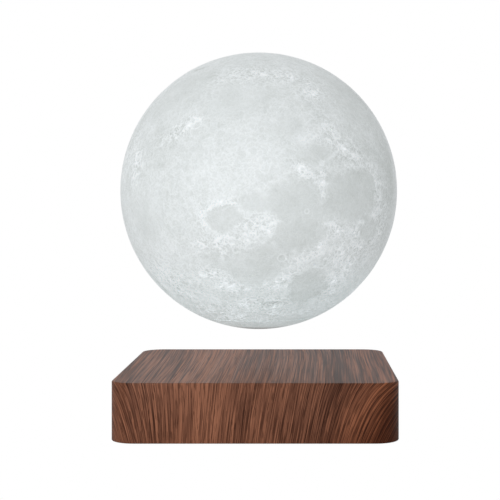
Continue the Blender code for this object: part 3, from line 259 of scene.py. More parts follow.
class LampBase(bpy.types.PropertyGroup):
    """Sizes and colours of the base."""

    corner: length("Corner radius", "Radius of the upright corners", 12.5)
    top_edge: length("Top edge", "Rounding of the top edge", 0.8)
    lower_edge: length("Lower edge", "Rounding of the lower edge", 0.5)
    wood_light: colour("Light grain", "Lightest walnut", "#A76F54")
    wood_middle: colour("Middle grain", "Walnut between the streaks", "#754A37")
    wood_dark: colour("Dark grain", "Darkest walnut", "#3C1E11")
    wood_heart: colour("Heart tint", "Tint of the heartwood at the right end", "#FFE6CB")
    streak: length("Streak width", "Width of a broad streak of the wood", 8.0)
    fibre: length("Fibre width", "Width of a fine fibre of the wood", 0.5)
    plastic: colour("Plastic", "Moulded cover, socket and carrier", "#1C1C1E")
    rubber: colour("Rubber", "Feet", "#151515")


class LampMetal(bpy.types.PropertyGroup):
    """Colours of the metals and of the electronic parts."""

    zinc: colour("Zinc", "Zinc plated steel", "#BFC2C6")
    nickel: colour("Nickel", "Nickel plated magnets", "#D2D0CB")
    copper: colour("Copper", "Enamelled copper wire", "#B5632F")
    brass: colour("Brass", "Standoffs", "#C8A659")
    iron: colour("Iron", "Cores of the steering coils", "#6F7073")
    aluminium: colour("Aluminium", "Capacitor cans", "#C3C6CA")
    board: colour("Board", "Solder mask of the boards", "#17492E")
    chip: colour("Chip", "Epoxy of the chips", "#1B1C1F")
    light_board: colour("Light board", "White solder mask", "#ECECE6")
    phosphor: colour("Phosphor", "Yellow dome of the light", "#E3B04A")


class LampStage(bpy.types.PropertyGroup):
    """Light, floor and camera."""

    background: colour("Background", "Floor and backdrop", "#FFFFFF")
    bounce: colour("Bounce", "Floor, where it lights the lamp", "#E7E7E7")
    fill_back: amount("Fill behind", "Brightness of the soft light behind the lamp", 0.8)
    fill_front: amount("Fill in front", "Brightness of the soft light in front", 0.33)
    key: amount("Key", "Power of the key light", 5.8, "POWER")
    lens: amount("Lens", "Focal length of the camera, in millimetres", 88.56, "CAMERA")


# Shapes --------------------------------------------------------------------------------------


def full_turn(steps):
    """Even angles round a full turn, without its end."""
    return np.linspace(0, 2 * np.pi, steps, endpoint=False)


def smooth(share):
    """3 s^2 - 2 s^3 of the share, held between 0 and 1."""
    share = np.clip(share, 0, 1)
    return share * share * (3 - 2 * share)


def arc(middle, reach, start, end, steps):
    """Points at even angles t of a circle or an oval, in degrees: middle + reach (cos t, sin t)."""
    angle = np.radians(np.linspace(start, end, steps))
    points = middle + np.column_stack([np.cos(angle), np.sin(angle)]) * reach
    points[np.abs(points) < TINY] = 0
    return points


def turned(profile, columns, start=0):
    """A turned surface: a profile point of radius r and height h goes to (r cos t, r sin t, h)
    for each angle t of a full turn. Returns a grid of points, a row for each profile point."""
    profile = np.asarray(profile, float)
    angle = full_turn(columns) + start
    radius = profile[:, :1]
    height = np.repeat(profile[:, 1:], columns, axis=1)
    return np.stack([radius * np.cos(angle), radius * np.sin(angle), height], axis=-1)


def round_edged(radius, low, high, edge):
    """Profile of a disc whose two edges are quarter circles of the edge's radius."""
    lower = arc((radius - edge, low + edge), edge, -90, 0, 5)
    upper = arc((radius - edge, high - edge), edge, 0, 90, 5)
    return [(0, low), *lower, *upper, (0, high)]


def coil_path(outer, inner, turns, low, high, steps):
    """A wire's way round the axis: its radius and its height change evenly with the angle."""
    angle = np.linspace(0, 2 * np.pi * turns, steps * turns + 1)
    reach = np.linspace(outer, inner, len(angle))
    height = np.linspace(low, high, len(angle))
    return np.column_stack([reach * np.cos(angle), reach * np.sin(angle), height])


def tube(path, radius, sides):
    """A round wire: a circle of points at right angles to the path, carried along it, with the
    two ends drawn together to a point."""
    tangent = np.gradient(path, axis=0)
    tangent /= np.linalg.norm(tangent, axis=1, keepdims=True)
    side = np.cross(tangent, (0, 0, 1))
    side /= np.linalg.norm(side, axis=1, keepdims=True)
    rise = np.cross(side, tangent)
    angle = full_turn(sides)[None, :, None]
    ring = radius * (np.cos(angle) * side[:, None] + np.sin(angle) * rise[:, None])
    points = path[:, None] + ring
    first, last = (np.broadcast_to(path[end], points[:1].shape) for end in (0, -1))
    return np.concatenate([first, points, last])


def rounded_loop(half_width, half_depth, radius, steps):
    """A rectangle with round corners, anticlockwise: for each corner angle t, its corner's
    middle plus radius times (cos t, sin t)."""
    angle = np.linspace(0, np.pi / 2, steps + 1)[None, :] + np.arange(4)[:, None] * np.pi / 2
    sign_x = np.array([1, -1, -1, 1])[:, None]
    sign_y = np.array([1, 1, -1, -1])[:, None]
    x = sign_x * (half_width - radius) + radius * np.cos(angle)
    y = sign_y * (half_depth - radius) + radius * np.sin(angle)
    return np.stack([x, y], axis=-1).reshape(-1, 2)


def rounded_stack(rows, half_width, half_depth, steps):
    """Rounded rectangles one after the other, each of a row's inset, height and corner radius,
    and closed by a point at both ends."""
    flat = [rounded_loop(half_width - row[0], half_depth - row[0], row[2], steps) for row in rows]
    point = np.zeros_like(flat[:1])
    heights = np.array([row[1] for row in (rows[0], *rows, rows[-1])])
    heights = np.repeat(heights[:, None], len(flat[0]), axis=1)
    return np.dstack([np.concatenate([point, flat, point]), heights])


def grid_faces(rows, columns, closed):
    """Quads between neighbours of a grid. The columns always close round, and the rows do if
    closed is set."""
    row = np.arange(rows if closed else rows - 1)[:, None]
    column = np.arange(columns)[None, :]
    next_row, next_column = (row + 1) % rows, (column + 1) % columns
    corners = ((row, column), (row, next_column), (next_row, next_column), (next_row, column))
    return np.stack([r * columns + c for r, c in corners], axis=-1).reshape(-1, 4)


def outwards(points, faces):
    """The faces, turned round if the volume that they enclose comes out below nothing."""
    a, b, c, d = (points[faces[:, number]] for number in range(4))
    volume = np.einsum("ij,ij->", a, np.cross(b, c)) + np.einsum("ij,ij->", a, np.cross(c, d))
    return faces if volume > 0 else faces[:, ::-1]


def grid_object(name, grid, closed=False):
    """An object of a grid, whose points are merged where they meet."""
    points = grid.reshape(-1, 3)
    faces = outwards(points, grid_faces(*grid.shape[:2], closed))
    mesh = bpy.data.meshes.new(name)
    mesh.from_pydata(points, [], faces.tolist())
    shape = bmesh.new()
    shape.from_mesh(mesh)
    bmesh.ops.remove_doubles(shape, verts=shape.verts, dist=MERGE_DISTANCE)
    shape.to_mesh(mesh)
    shape.free()
    item = bpy.data.objects.new(name, mesh)
    bpy.context.collection.objects.link(item)
    return item


def add_piece(name, grid, finish, body, stands_for=(), closed=False, sharp=35):
    """Adds the piece that a grid gives, with a finish, riding on a body of the frame. Edges
    steeper than sharp, in degrees, stay sharp."""
    piece = grid_object(name, grid, closed)
    piece.data.shade_smooth()
    piece.data.set_sharp_from_angle(angle=math.radians(sharp))
    piece.data.materials.append(finish)
    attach(piece, body)
    if stands_for:
        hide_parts(*stands_for)
    return piece


def dress(finish, *nodes):
    """Gives CAD nodes a finish."""
    for name in nodes:
        node = frame["nodes"][name]
        if not node.material_slots:
            raise RuntimeError(f"{name} has no material slot")
        for slot in node.material_slots:
            slot.material = finish


def frame_body(node):
    """The CAD body that a node moves with."""
    parent = frame["nodes"][node].parent
    return next(name for name, body in frame["bodies"].items() if body == parent)


def middle_of(node):
    """The middle of a CAD node's box at z = 0, its lowest and highest height, and half its
    width."""
    low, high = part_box(node)
    middle = np.array(Vector(((low.x + high.x) / 2, (low.y + high.y) / 2, 0)))
    return middle, low.z, high.z, (high.x - low.x) / 2


# Materials -----------------------------------------------------------------------------------

# What makes the Mix node mix colours, and its sockets then
COLOURS = {"data_type": "RGBA", "output": 2}
MIX_A, MIX_B = 6, 7


def feed(item, inputs):
    """Sets or links a node's inputs, given by socket or in the order of the sockets."""
    for socket, value in inputs.items() if isinstance(inputs, dict) else enumerate(inputs):
        target = item.inputs[socket]
        if isinstance(value, bpy.types.NodeSocket):
            item.id_data.links.new(value, target)
        else:
            target.default_value = (*value, 1) if target.type == "RGBA" else value


def add(tree, kind, inputs=(), output=0, **settings):
    """Adds a node with its settings and inputs, and returns one output."""
    item = tree.nodes.new("ShaderNode" + kind)
    for name, value in settings.items():
        setattr(item, name, value)
    feed(item, inputs)
    return item.outputs[output] if len(item.outputs) else None


def new_finish(name, roughness, metallic=0):
    """A material, what adds its nodes, its Principled shader, and the place on the piece."""
    material = bpy.data.materials.new(name)
    material.use_nodes = True
    shader = material.node_tree.nodes["Principled BSDF"]
    feed(shader, {"Roughness": roughness, "Metallic": metallic})
    node = partial(add, material.node_tree)
    return material, node, shader, node("TexCoord", output="Object")


def printed_moon(moon):
    """Translucent polylactide, printed in fine layers and left matt: a soft pale skin, blotchy
    grey in the lowlands, with fine bright specks and small rings on the high ground."""
    material, node, shader, place = new_finish("printed_moon", 0.62)
    lowland, tone, depth, rough = (
        node("Attribute", output="Fac", attribute_name=name)
        for name in ("lowland", "tone", "lowland_tone", "rough")
    )

    # Shores are broken up by noise of 9 mm; the shallower a lowland, the softer its shore
    shore = node("TexNoise", {"Vector": place, "Scale": 110, "Detail": 7, "Roughness": 0.7})
    ragged = node("Math", (shore, 0.5), operation="SUBTRACT")
    edge = node("Math", (ragged, 1.6, lowland), operation="MULTIPLY_ADD")
    outer = node("MapRange", (depth, 0.6, 0.85, -0.75, -0.2))
    inner = node("MapRange", (depth, 0.6, 0.85, 0.7, 0.24))
    floor = node("MapRange", (edge, outer, inner), interpolation_type="SMOOTHSTEP")
    darkness = node("Math", (floor, depth), operation="MULTIPLY")

    # Threads: thin bright lines where a noise crosses its middle, 4 mm, 2 mm and 1 mm apart
    cloud = node("TexNoise", {"Vector": place, "Scale": 100, "Detail": 5})
    threads = 0
    for scale, share in ((200, 0.8), (400, 1.1), (800, 1.2)):
        noise = node("TexNoise", {"Vector": place, "Scale": scale, "Detail": 1})
        off = node("Math", (noise, 0.5), operation="SUBTRACT")
        far = node("Math", (off,), operation="ABSOLUTE")
        line = node("MapRange", (far, 0.1, 0, -0.5))
        threads = node("Math", (line, share, threads), operation="MULTIPLY_ADD")

    # Rims of craters 0.7 to 2.5 mm in radius, each the ball round a cell's point cut by the
    # skin, and those of the named craters, which are broken up. Positive is rim and negative
    # is hollow.
    crowd = node("Math", (cloud, 1.6, rough), operation="MULTIPLY_ADD")
    crowded = node("MapRange", (crowd, 1, 1.5))
    high_ground = node("MapRange", (floor, 0, 1, 1, 0.1))
    crowded = node("Math", (crowded, high_ground), operation="MULTIPLY")
    rings = []
    for scale in (160, 300):
        cells = node("TexVoronoi", {"Vector": place, "Scale": scale}).node.outputs
        size = node("MapRange", (cells["Color"], 0, 1, 0.16, 0.42))
        off = node("Math", (cells["Distance"], size), operation="SUBTRACT")
        rings.append((off, 0.11, 0.4, crowded))
    broken = node("MapRange", (shore, 0.4, 0.6, 0.2, 1.2))
    middle, radius = moon_middle()
    for azimuth, elevation, across, _ in CRATERS:
        if across > DRAWN_CRATER:
            continue
        centre = middle + Vector(unit(azimuth, elevation)) * radius
        far = node("VectorMath", (place, centre), 1, operation="DISTANCE")
        off = node("Math", (far, radius * math.radians(across)), operation="SUBTRACT")
        rings.append((off, 0.55 * MM, 0.3, broken))
    rims = 0
    for off, width, hollow, share in rings:
        far = node("Math", (off,), operation="ABSOLUTE")
        rim = node("MapRange", (far, width, 0.2 * width))
        bowl = node("MapRange", (off, -0.2 * width, -1.6 * width, 0, -hollow))
        rim = node("Math", (rim, bowl), operation="ADD")
        rims = node("Math", (rim, share, rims), operation="MULTIPLY_ADD")

    # Shores carry a broken bright line
    off = node("Math", (edge, 0.14), operation="ADD")
    far = node("Math", (off,), operation="ABSOLUTE")
    coast = node("MapRange", (far, 0.16, 0))
    deep = node("MapRange", (depth, 0.7, 0.9))
    coast = node("Math", (coast, deep), operation="MULTIPLY")

    # Brightness: 0 is the darkest floor, 1 the brightest ray. The tone adds painted shade along the
    # right limb.
    swing = node("Math", (cloud, 0.5), operation="SUBTRACT")
    crumbs = node("MapRange", (rough, 0, 1, 0.06, 0.15))
    calm = node("MapRange", (floor, 0, 1, 1, 0.5))
    crumbs = node("Math", (crumbs, calm), operation="MULTIPLY")
    value = 0.41
    weights = (-0.115, 0.54, 0.06, 0.18, 0.28, crumbs)
    for part, weight in zip((darkness, tone, coast, rims, swing, threads), weights):
        value = node("Math", (part, weight, value), operation="MULTIPLY_ADD")
    mixed = node("Mix", {0: value, MIX_A: moon.dark, MIX_B: moon.bright}, **COLOURS)

    # The lamp shines through the shell, more so low down, near the light, and a little cooler
    # there. The board and the magnet under it keep the light off the cap.
    height = node("SeparateXYZ", (place,), 2)
    bottom, bright_top, cap_top = (middle.z - share * radius for share in (1, 0.35, 0.96))
    near = [
        node("MapRange", (height, bottom, bright_top, most, 1), interpolation_type="SMOOTHSTEP")
        for most in (1.38, 1.52, 1.54)
    ]
    near = node("CombineXYZ", near)
    shaded = node("MapRange", (height, bottom, cap_top, 0.2))
    near = node("VectorMath", {0: near, 3: shaded}, operation="SCALE")
    lit = node("VectorMath", (mixed, near), operation="MULTIPLY")
    relief = node("Math", (rims, 2, threads), operation="MULTIPLY_ADD")
    looks = {
        "Base Color": mixed,
        "Emission Color": lit,
        "Emission Strength": moon.glow,
        "Normal": node("Bump", {"Height": relief, "Strength": 0.5, "Distance": 0.06 * MM}),
        "Subsurface Weight": 0.15,
        "Subsurface Radius": (1, 0.95, 0.85),
        "Subsurface Scale": 1.2 * MM,
        "IOR": 1.46,
    }
    feed(shader, looks)
    return material


def oiled_walnut(base):
    """Black walnut, sanded and oiled: long streaks that run over the top and down the front,
    leaning more and more to the right, fine fibres and dark open pores, and a satin sheen."""
    material, node, shader, place = new_finish("oiled_walnut", 0.42)
    low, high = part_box("walnut_casing")
    x, y, z = node("SeparateXYZ", (place,)).node.outputs
    calm = node("VectorMath", (place, (1, 0.3, 0.6)), operation="MULTIPLY")
    slow = node("TexNoise", {"Vector": calm, "Scale": 16, "Detail": 1})

    # The sheet that a point lies in: x less the height over the middle times the lean there,
    # which is 0.11 + 2.6 x + 20 x^2 + 700 x^3 + 200000 x^5
    lean = 200000
    for term in (0, 700, 20, 2.6, 0.11):
        lean = node("Math", (x, lean, term), operation="MULTIPLY_ADD")
    rise = node("Math", (z, (low.z + high.z) / 2), operation="SUBTRACT")
    shift = node("Math", (lean, rise), operation="MULTIPLY")
    sheet = node("Math", (x, shift), operation="SUBTRACT")
    wander = node("Math", (slow, 0.5), operation="SUBTRACT")
    sheet = node("Math", (wander, 9 * MM, sheet), operation="MULTIPLY_ADD")

    # Along the grain a pattern is drawn out, rings the most and pores the least: by these
    # shares from front to back and from top to bottom. The start picks the part of a noise
    # that the front shows.
    drawn = []
    shares = ((0.006, 0.015, -0.435), (0.008, 0.022, -0.87), (0.02, 0.1, -1.8125))
    for share, steep, start in shares:
        along = node("Math", (y, share, start * MM), operation="MULTIPLY_ADD")
        down = node("Math", (z, steep), operation="MULTIPLY")
        drawn.append(node("CombineXYZ", (sheet, along, down)))
    streaks, fibres, dashes = drawn

    # Streaks and fibres, which are drawn a few times as wide as real ones so that they show
    value = 0.61
    for vector, scale, detail, weight in (
        (streaks, 1 / base.streak, 2, 0.4),
        (streaks, 3.2 / base.streak, 2, 0.45),
        (fibres, 1 / base.fibre, 0, 1.5),
    ):
        noise = node("TexNoise", {"Vector": vector, "Scale": scale, "Detail": detail})
        swing = node("Math", (noise, 0.5), operation="SUBTRACT")
        value = node("Math", (swing, weight, value), operation="MULTIPLY_ADD")

    # Late wood: hair lines where a noise of the sheets crosses its middle
    ring = node("TexNoise", {"Vector": streaks, "Scale": 5 / base.streak, "Detail": 2})
    off = node("Math", (ring, 0.5), operation="SUBTRACT")
    far = node("Math", (off,), operation="ABSOLUTE")
    hair = node("MapRange", (far, 0.045, 0, 0, 0.36))
    value = node("Math", (value, hair), operation="SUBTRACT")

    # Pale and dark bands: middle and half width in millimetres, and strength. They are partly the
    # wood's figure and partly painted shade: paler at the left, towards the key light, and darkest
    # at the right end, which is partly the heart and partly painted shade away from the light.
    figure_and_shade_bands = ((-27, 26, 0.2), (0, 14, -0.065), (34, 26, -0.12), (37, 12, -0.14), (78, 27, -0.5))
    for middle, half, strength in figure_and_shade_bands:
        off = node("Math", (sheet, middle * MM), operation="SUBTRACT")
        far = node("Math", (off,), operation="ABSOLUTE")
        fall = (far, half * MM, 0, 0, strength)
        figure_and_shade_band = node("MapRange", fall, interpolation_type="SMOOTHSTEP")
        value = node("Math", (value, figure_and_shade_band), operation="ADD")
    lower = node("MapRange", (value, 0, 0.5))
    upper = node("MapRange", (value, 0.5, 1))
    mixed = node("Mix", {0: lower, MIX_A: base.wood_dark, MIX_B: base.wood_middle}, **COLOURS)
    mixed = node("Mix", {0: upper, MIX_A: mixed, MIX_B: base.wood_light}, **COLOURS)

    # The heart at the right end is redder
    red = node("MapRange", (sheet, 35 * MM, 70 * MM))
    heart = {0: red, MIX_A: mixed, MIX_B: base.wood_heart}
    mixed = node("Mix", heart, blend_type="MULTIPLY", **COLOURS)

    # Open pores: thin dark dashes, as wide as a fibre
    pores = node("TexNoise", {"Vector": dashes, "Scale": 1 / base.fibre, "Detail": 0})
    pore = node("MapRange", (pores, 0.6, 0.72, 0, 0.55))
    mixed = node("Mix", {0: pore, MIX_A: mixed, MIX_B: base.wood_dark}, **COLOURS)
    height = node("Math", (value, pore), operation="SUBTRACT")
    looks = {
        "Base Color": mixed,
        "Roughness": node("MapRange", (ring, 0, 1, 0.36, 0.52)),
        "Normal": node("Bump", {"Height": height, "Strength": 0.4, "Distance": 0.05 * MM}),
        # Oil fills the pores without a film, so the wood reflects little but at a grazing angle
        "Specular IOR Level": 0.12,
    }
    feed(shader, looks)
    return material


def speckled(name):
    """A finish with a fine grit, from the list of them: its colour and its roughness vary, and
    its surface is uneven."""
    group, part, roughness, grit, depth, metallic = FINISHES[name]
    rgb = getattr(getattr(bpy.context.scene, f"lamp_{group}"), part)
    material, node, shader, place = new_finish(name, roughness, metallic)
    grains = node("TexNoise", {"Vector": place, "Scale": 1 / (grit * MM), "Detail": 3})
    cloud = node("TexNoise", {"Vector": place, "Scale": 60, "Detail": 2})
    both = node("Math", (grains, cloud), operation="ADD")
    share = node("Math", (both, 0.5), operation="MULTIPLY")
    dark = [c * (1 - COLOUR_SPREAD) for c in rgb]
    bright = [min(1, c * (1 + COLOUR_SPREAD)) for c in rgb]
    smoothest, dullest = roughness - ROUGHNESS_SPREAD, roughness + ROUGHNESS_SPREAD
    looks = {
        "Base Color": node("Mix", {0: share, MIX_A: dark, MIX_B: bright}, **COLOURS),
        "Roughness": node("MapRange", (grains, 0, 1, smoothest, dullest)),
        "Normal": node("Bump", {"Height": grains, "Strength": 0.5, "Distance": depth * MM}),
    }
    feed(shader, looks)
    return material


def soldered_board(name, mask_rgb, chip_rgb, top):
    """Glass epoxy board with a glossy solder mask over copper tracks, which show as slightly
    lighter lines 0.25 mm wide. What stands higher than the board's top is black epoxy."""
    material, node, shader, place = new_finish(name, 0.32)
    x, y, z = node("SeparateXYZ", (place,)).node.outputs
    across = node("CombineXYZ", (y, x, z))
    # Each field of the board, some 12 mm wide, has its tracks one way or the other. A track is
    # the joint between bricks 15 x 1.3 mm.
    cells = {"Vector": place, "Scale": 80}
    fields = node("TexVoronoi", cells, 1, distance="CHEBYCHEV")
    turned_field = node("Math", (fields, 0.5), operation="GREATER_THAN")
    lie = node("Mix", {0: turned_field, 4: place, 5: across}, 1, data_type="VECTOR")
    bricks = {
        "Vector": lie,
        "Scale": 1 / MM,
        "Brick Width": 15,
        "Row Height": 1.3,
        "Mortar Size": 0.12,
        "Mortar Smooth": 0,
    }
    track = node("TexBrick", bricks, 1)
    over_track = [min(1, c * 1.6) for c in mask_rgb]
    mixed = node("Mix", {0: track, MIX_A: mask_rgb, MIX_B: over_track}, **COLOURS)
    raised = node("Math", (z, top + 0.05 * MM), operation="GREATER_THAN")
    looks = {
        "Base Color": node("Mix", {0: raised, MIX_A: mixed, MIX_B: chip_rgb}, **COLOURS),
        "Roughness": node("MapRange", (raised, 0, 1, 0.3, 0.6)),
        "Normal": node("Bump", {"Height": track, "Strength": 0.4, "Distance": 0.035 * MM}),
    }
    feed(shader, looks)
    return material


def glowing_phosphor(rgb):
    """Silicone with yellow phosphor: a cloudy, slightly glossy dome that glows a little."""
    material, node, shader, place = new_finish("phosphor_silicone", 0.3)
    cloud = node("TexNoise", {"Vector": place, "Scale": 900, "Detail": 3})
    dark = [c * 0.85 for c in rgb]
    looks = {
        "Base Color": node("Mix", {0: cloud, MIX_A: dark, MIX_B: rgb}, **COLOURS),
        "Emission Color": rgb,
        "Emission Strength": 0.6,
        "Subsurface Weight": 0.3,
        "Subsurface Scale": 1 * MM,
    }
    feed(shader, looks)
    return material


# The moon ------------------------------------------------------------------------------------


def unit(azimuth, elevation):
    """The direction at an azimuth from the front and an elevation, in degrees."""
    a, e = np.radians(azimuth), np.radians(elevation)
    return np.stack([np.sin(a) * np.cos(e), -np.cos(a) * np.cos(e), np.sin(e)], axis=-1)


def local_angles(direction, azimuth, elevation):
    """How far directions lie to the east and to the north of a middle, in degrees: the part of
    the direction along east and along north, stretched from the chord to the arc."""
    a, e = math.radians(azimuth), math.radians(elevation)
    east = np.array([math.cos(a), math.sin(a), 0])
    north = np.array([-math.sin(a) * math.sin(e), math.cos(a) * math.sin(e), math.cos(e)])
    angle = np.arccos(np.clip(direction @ unit(azimuth, elevation), -1, 1))
    stretch = np.degrees(angle / np.maximum(np.sin(angle), 1e-6))
    return (direction @ east) * stretch, (direction @ north) * stretch


def ellipse_distance(direction, azimuth, elevation, east, north, turn):
    """Distance from the middle of an ellipse on the ball, as a share of its radius."""
    x, y = local_angles(direction, azimuth, elevation)
    t = math.radians(turn)
    along = (x * math.cos(t) + y * math.sin(t)) / east
    across = (y * math.cos(t) - x * math.sin(t)) / north
    return np.hypot(along, across)


def lowland_fields(direction):
    """How far inside a lowland each direction lies, 1 at a middle, 0 on the shore and less
    outside, and how dark the lowlands near it are: the mean of them, weighted by e to six times
    how far inside."""
    inside = np.full(direction.shape[:-1], -2.0)
    weight, dark = np.zeros((2, *inside.shape))
    for *place, darkness in LOWLANDS:
        near = 1 - ellipse_distance(direction, *place)
        inside = np.maximum(inside, near)
        share = np.exp(6 * np.clip(near, -3, 1))
        weight += share
        dark += share * darkness
    return inside, dark / weight


def tone_and_shade_field(direction):
    """Soft patches, each its strength times exp(-1.4 d^2), and rays, which fade with distance
    and swing with the bearing. The dark patches along the right limb are painted shade."""
    tone = np.zeros(direction.shape[:-1])
    for *place, strength in PATCHES:
        distance = ellipse_distance(direction, *place)
        tone += strength * np.exp(-(distance**2) * 1.4)
    for azimuth, elevation, reach, rays, strength in RAYED:
        x, y = local_angles(direction, azimuth, elevation)
        distance, bearing = np.hypot(x, y), np.arctan2(y, x)
        swing = 0.5 + 0.5 * np.cos(bearing * rays + 1.7 * np.sin(3 * bearing))
        fade = np.exp(-((distance / reach) ** 2) * 2)
        spot = np.exp(-((distance / (reach * 0.22)) ** 2))
        tone += strength * (spot + 0.55 * fade * swing**2)
    return tone


def rough_field(direction):
    """Where the ground is crumbled: the greatest exp(-d^2) of the rough areas."""
    rough = np.zeros(direction.shape[:-1])
    for place in ROUGH:
        rough = np.maximum(rough, np.exp(-(ellipse_distance(direction, *place) ** 2)))
    return rough


def ground_noise(direction, random, waves, shortest, longest):
    """Uneven ground: plane waves through the ball, in random directions and of random lengths,
    in shares of the moon's radius, added up and divided by the root of their number."""
    axis = random.normal(size=(waves, 3))
    axis /= np.linalg.norm(axis, axis=1, keepdims=True)
    pitch = np.exp(random.uniform(math.log(shortest), math.log(longest), waves))
    phase = random.uniform(0, 2 * np.pi, waves)
    total = np.zeros(direction.shape[:-1])
    for number in range(waves):
        wave = direction @ axis[number] * 2 * np.pi / pitch[number] + phase[number]
        total += np.sin(wave) * (pitch[number] / longest) ** 0.7
    return total / math.sqrt(waves)


def crater_relief(direction, azimuth, elevation, radius, depth):
    """A crater: a bowl of depth (1 - s^2) inside its rim, where s is the share of its radius,
    less a rim about a fifth as high that falls off as exp(-((s - 1) / 0.35)^2)."""
    ahead = direction @ unit(azimuth, elevation)
    near = ahead > math.cos(math.radians(min(170, radius * 2.4)))
    share = np.degrees(np.arccos(np.clip(ahead[near], -1, 1))) / radius
    bowl = np.where(share < 1, depth * (1 - share**2), 0)
    result = np.zeros(direction.shape[:-1])
    result[near] = bowl - 0.22 * depth * np.exp(-(((share - 1) / 0.35) ** 2))
    return result


def moon_relief(direction, moon):
    """How far the ground lies below the moon's full radius, never less than nothing: the
    lowlands, the named and the scattered craters, and the uneven ground."""
    random = np.random.default_rng(moon.seed)
    inside, dark = lowland_fields(direction)
    depth = moon.lowland_depth * smooth(inside * 3 + 0.3) * np.clip(dark, 0, 1)
    # Most of the scattered ones are near the smallest radius, 1.1 degrees, and they are
    # shallower in the lowlands
    small = moon.crater_count
    azimuths = random.uniform(-180, 180, small)
    elevations = np.degrees(np.arcsin(random.uniform(-0.95, 1, small)))
    radii = 1.1 + 2.2 * random.random(small) ** 3
    high = lowland_fields(unit(azimuths, elevations))[0] < 0
    shares = np.where(high, 0.32, 0.1) * random.uniform(0.5, 1, small)
    for *place, share in (*CRATERS, *zip(azimuths, elevations, radii, shares)):
        depth += crater_relief(direction, *place, share * moon.crater_depth)
    ground = ground_noise(direction, random, waves=70, shortest=0.05, longest=0.3)
    depth += moon.roughness_height * (1 + ground * np.where(inside > 0, 0.4, 1))
    return np.maximum(depth, 0)


def give_moon_fields(piece, middle):
    """Writes the lowlands, their darkness, the patches and rays with the painted shade along the
    right limb, and the rough areas to the points.
    """
    mesh = piece.data
    points = np.empty(len(mesh.vertices) * 3)
    mesh.vertices.foreach_get("co", points)
    direction = points.reshape(-1, 3) - np.array(middle)
    direction /= np.linalg.norm(direction, axis=1, keepdims=True)
    fields = dict(zip(("lowland", "lowland_tone"), lowland_fields(direction)))
    fields |= {"tone": tone_and_shade_field(direction), "rough": rough_field(direction)}
    for name, values in fields.items():
        layer = mesh.attributes.new(name, "FLOAT", "POINT")
        layer.data.foreach_set("value", values)


def moon_middle():
    """The moon's middle and its radius, from the CAD shell."""
    low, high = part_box("moon_shell")
    radius = (high.x - low.x) / 2
    return Vector((0, 0, high.z - radius)), radius


def lower_angle(reach, radius):
    """Where a ball is as wide as the reach in its lower half, in degrees from level."""
    return math.degrees(math.asin(reach / radius)) - 90


def cratered(profile, moon, radius, fade_from):
    """A turned part of the ball, drawn in along its directions by the relief, which fades out
    over 8 mm above a height."""
    points = turned(profile, moon.columns)
    direction = points / np.linalg.norm(points, axis=-1, keepdims=True)
    fade_length = 8 * MM
    fade = smooth((direction[..., 2] * radius - fade_from) / fade_length)
    depth = moon_relief(direction, moon) * fade
    return direction * (radius - depth)[..., None]


class LAMP_OT_moon(bpy.types.Operator):
    """Build the moon's cratered shell and the cap that closes it"""

    bl_idname = "lamp.moon"
    bl_label = "Moon"

    def execute(self, context):
        moon = context.scene.lamp_moon
        finish = printed_moon(moon)
        middle, radius = moon_middle()
        ball, inner = (0, 0), radius - moon.wall
        cap_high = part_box("moon_cap")[1]
        hole = cap_high.x + CLEARANCE
        brim = -radius * math.cos(math.asin(hole / radius))

        # Shell: the ball from the pole down to the opening, the collar, and the inner wall
        outside = arc(ball, radius, 90, lower_angle(hole, radius), moon.rows)
        skin = cratered(outside, moon, radius, brim)
        step, collar_top, neck = brim + 1.9 * MM, brim + 7.9 * MM, hole - 2.5 * MM
        root = hole + moon.wall
        collar = [(hole, step), (neck, step), (neck, collar_top), (root, collar_top)]
        inside = arc(ball, inner, lower_angle(root, inner), 90, 12)
        lining = turned([*collar, *inside], moon.columns)
        shell = np.concatenate([skin, lining])

        # Cap: flush with the shell, with the magnet's pocket inside
        magnet_low, magnet_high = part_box("moon_magnet")
        pocket, seat = magnet_high.x + CLEARANCE, magnet_low.z - middle.z - CLEARANCE
        flange, spigot, ledge = hole - CLEARANCE, hole - 2.8 * MM, pocket - 2.5 * MM
        step, top = brim + 1.6 * MM, cap_high.z - middle.z
        skin = arc(ball, radius, -90, lower_angle(flange, radius), 24)
        walls = [(flange, step), (spigot, step), (spigot, top)]
        walls += [(pocket, top), (pocket, seat), (ledge, seat)]
        profile = [*skin, *walls, *arc(ball, inner, lower_angle(ledge, inner), -90, 6)]
        cap = turned(profile, columns=160)
        for name, grid, node in (
            ("moon_skin", shell, "moon_shell"),
            ("moon_cap_skin", cap, "moon_cap"),
        ):
            piece = add_piece(name, grid + np.array(middle), finish, "moon", (node,))
            give_moon_fields(piece, middle)
        return {"FINISHED"}


# The base ------------------------------------------------------------------------------------


class LAMP_OT_casing(bpy.types.Operator):
    """Build the walnut casing with its rounded edges, its cavity and the hole for the socket"""

    bl_idname = "lamp.casing"
    bl_label = "Walnut casing"

    def execute(self, context):
        base = context.scene.lamp_base
        low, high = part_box("walnut_casing")
        insets = (40 * MM, 20 * MM, 4 * MM)
        rows = [(inset, high.z, max(base.corner - inset, 1 * MM)) for inset in insets]
        top, lower = base.top_edge, base.lower_edge
        edges = [
            *arc((top, high.z - top), (-top, top), 90, 0, 7),
            *arc((lower, low.z + lower), -lower, 0, 90, 7),
        ]
        rows += [(inset, height, base.corner - inset) for inset, height in edges]

        # Rebate for the cover, and the cavity
        rebate, ledge, corner = 3 * MM, low.z + 2.7 * MM, base.corner - 3 * MM
        wall, ceiling, inner_corner = 6 * MM, high.z - 3 * MM, 22 * MM
        rows += [(rebate, low.z, corner), (rebate, ledge, corner)]
        rows += [(wall, ledge, inner_corner), (wall, ceiling, inner_corner)]
        grid = rounded_stack(rows, (high.x - low.x) / 2, (high.y - low.y) / 2, steps=16)
        wood = oiled_walnut(base)
        casing = add_piece("walnut_block", grid, wood, "base", ("walnut_casing",))
        bore_socket_hole(casing)
        return {"FINISHED"}


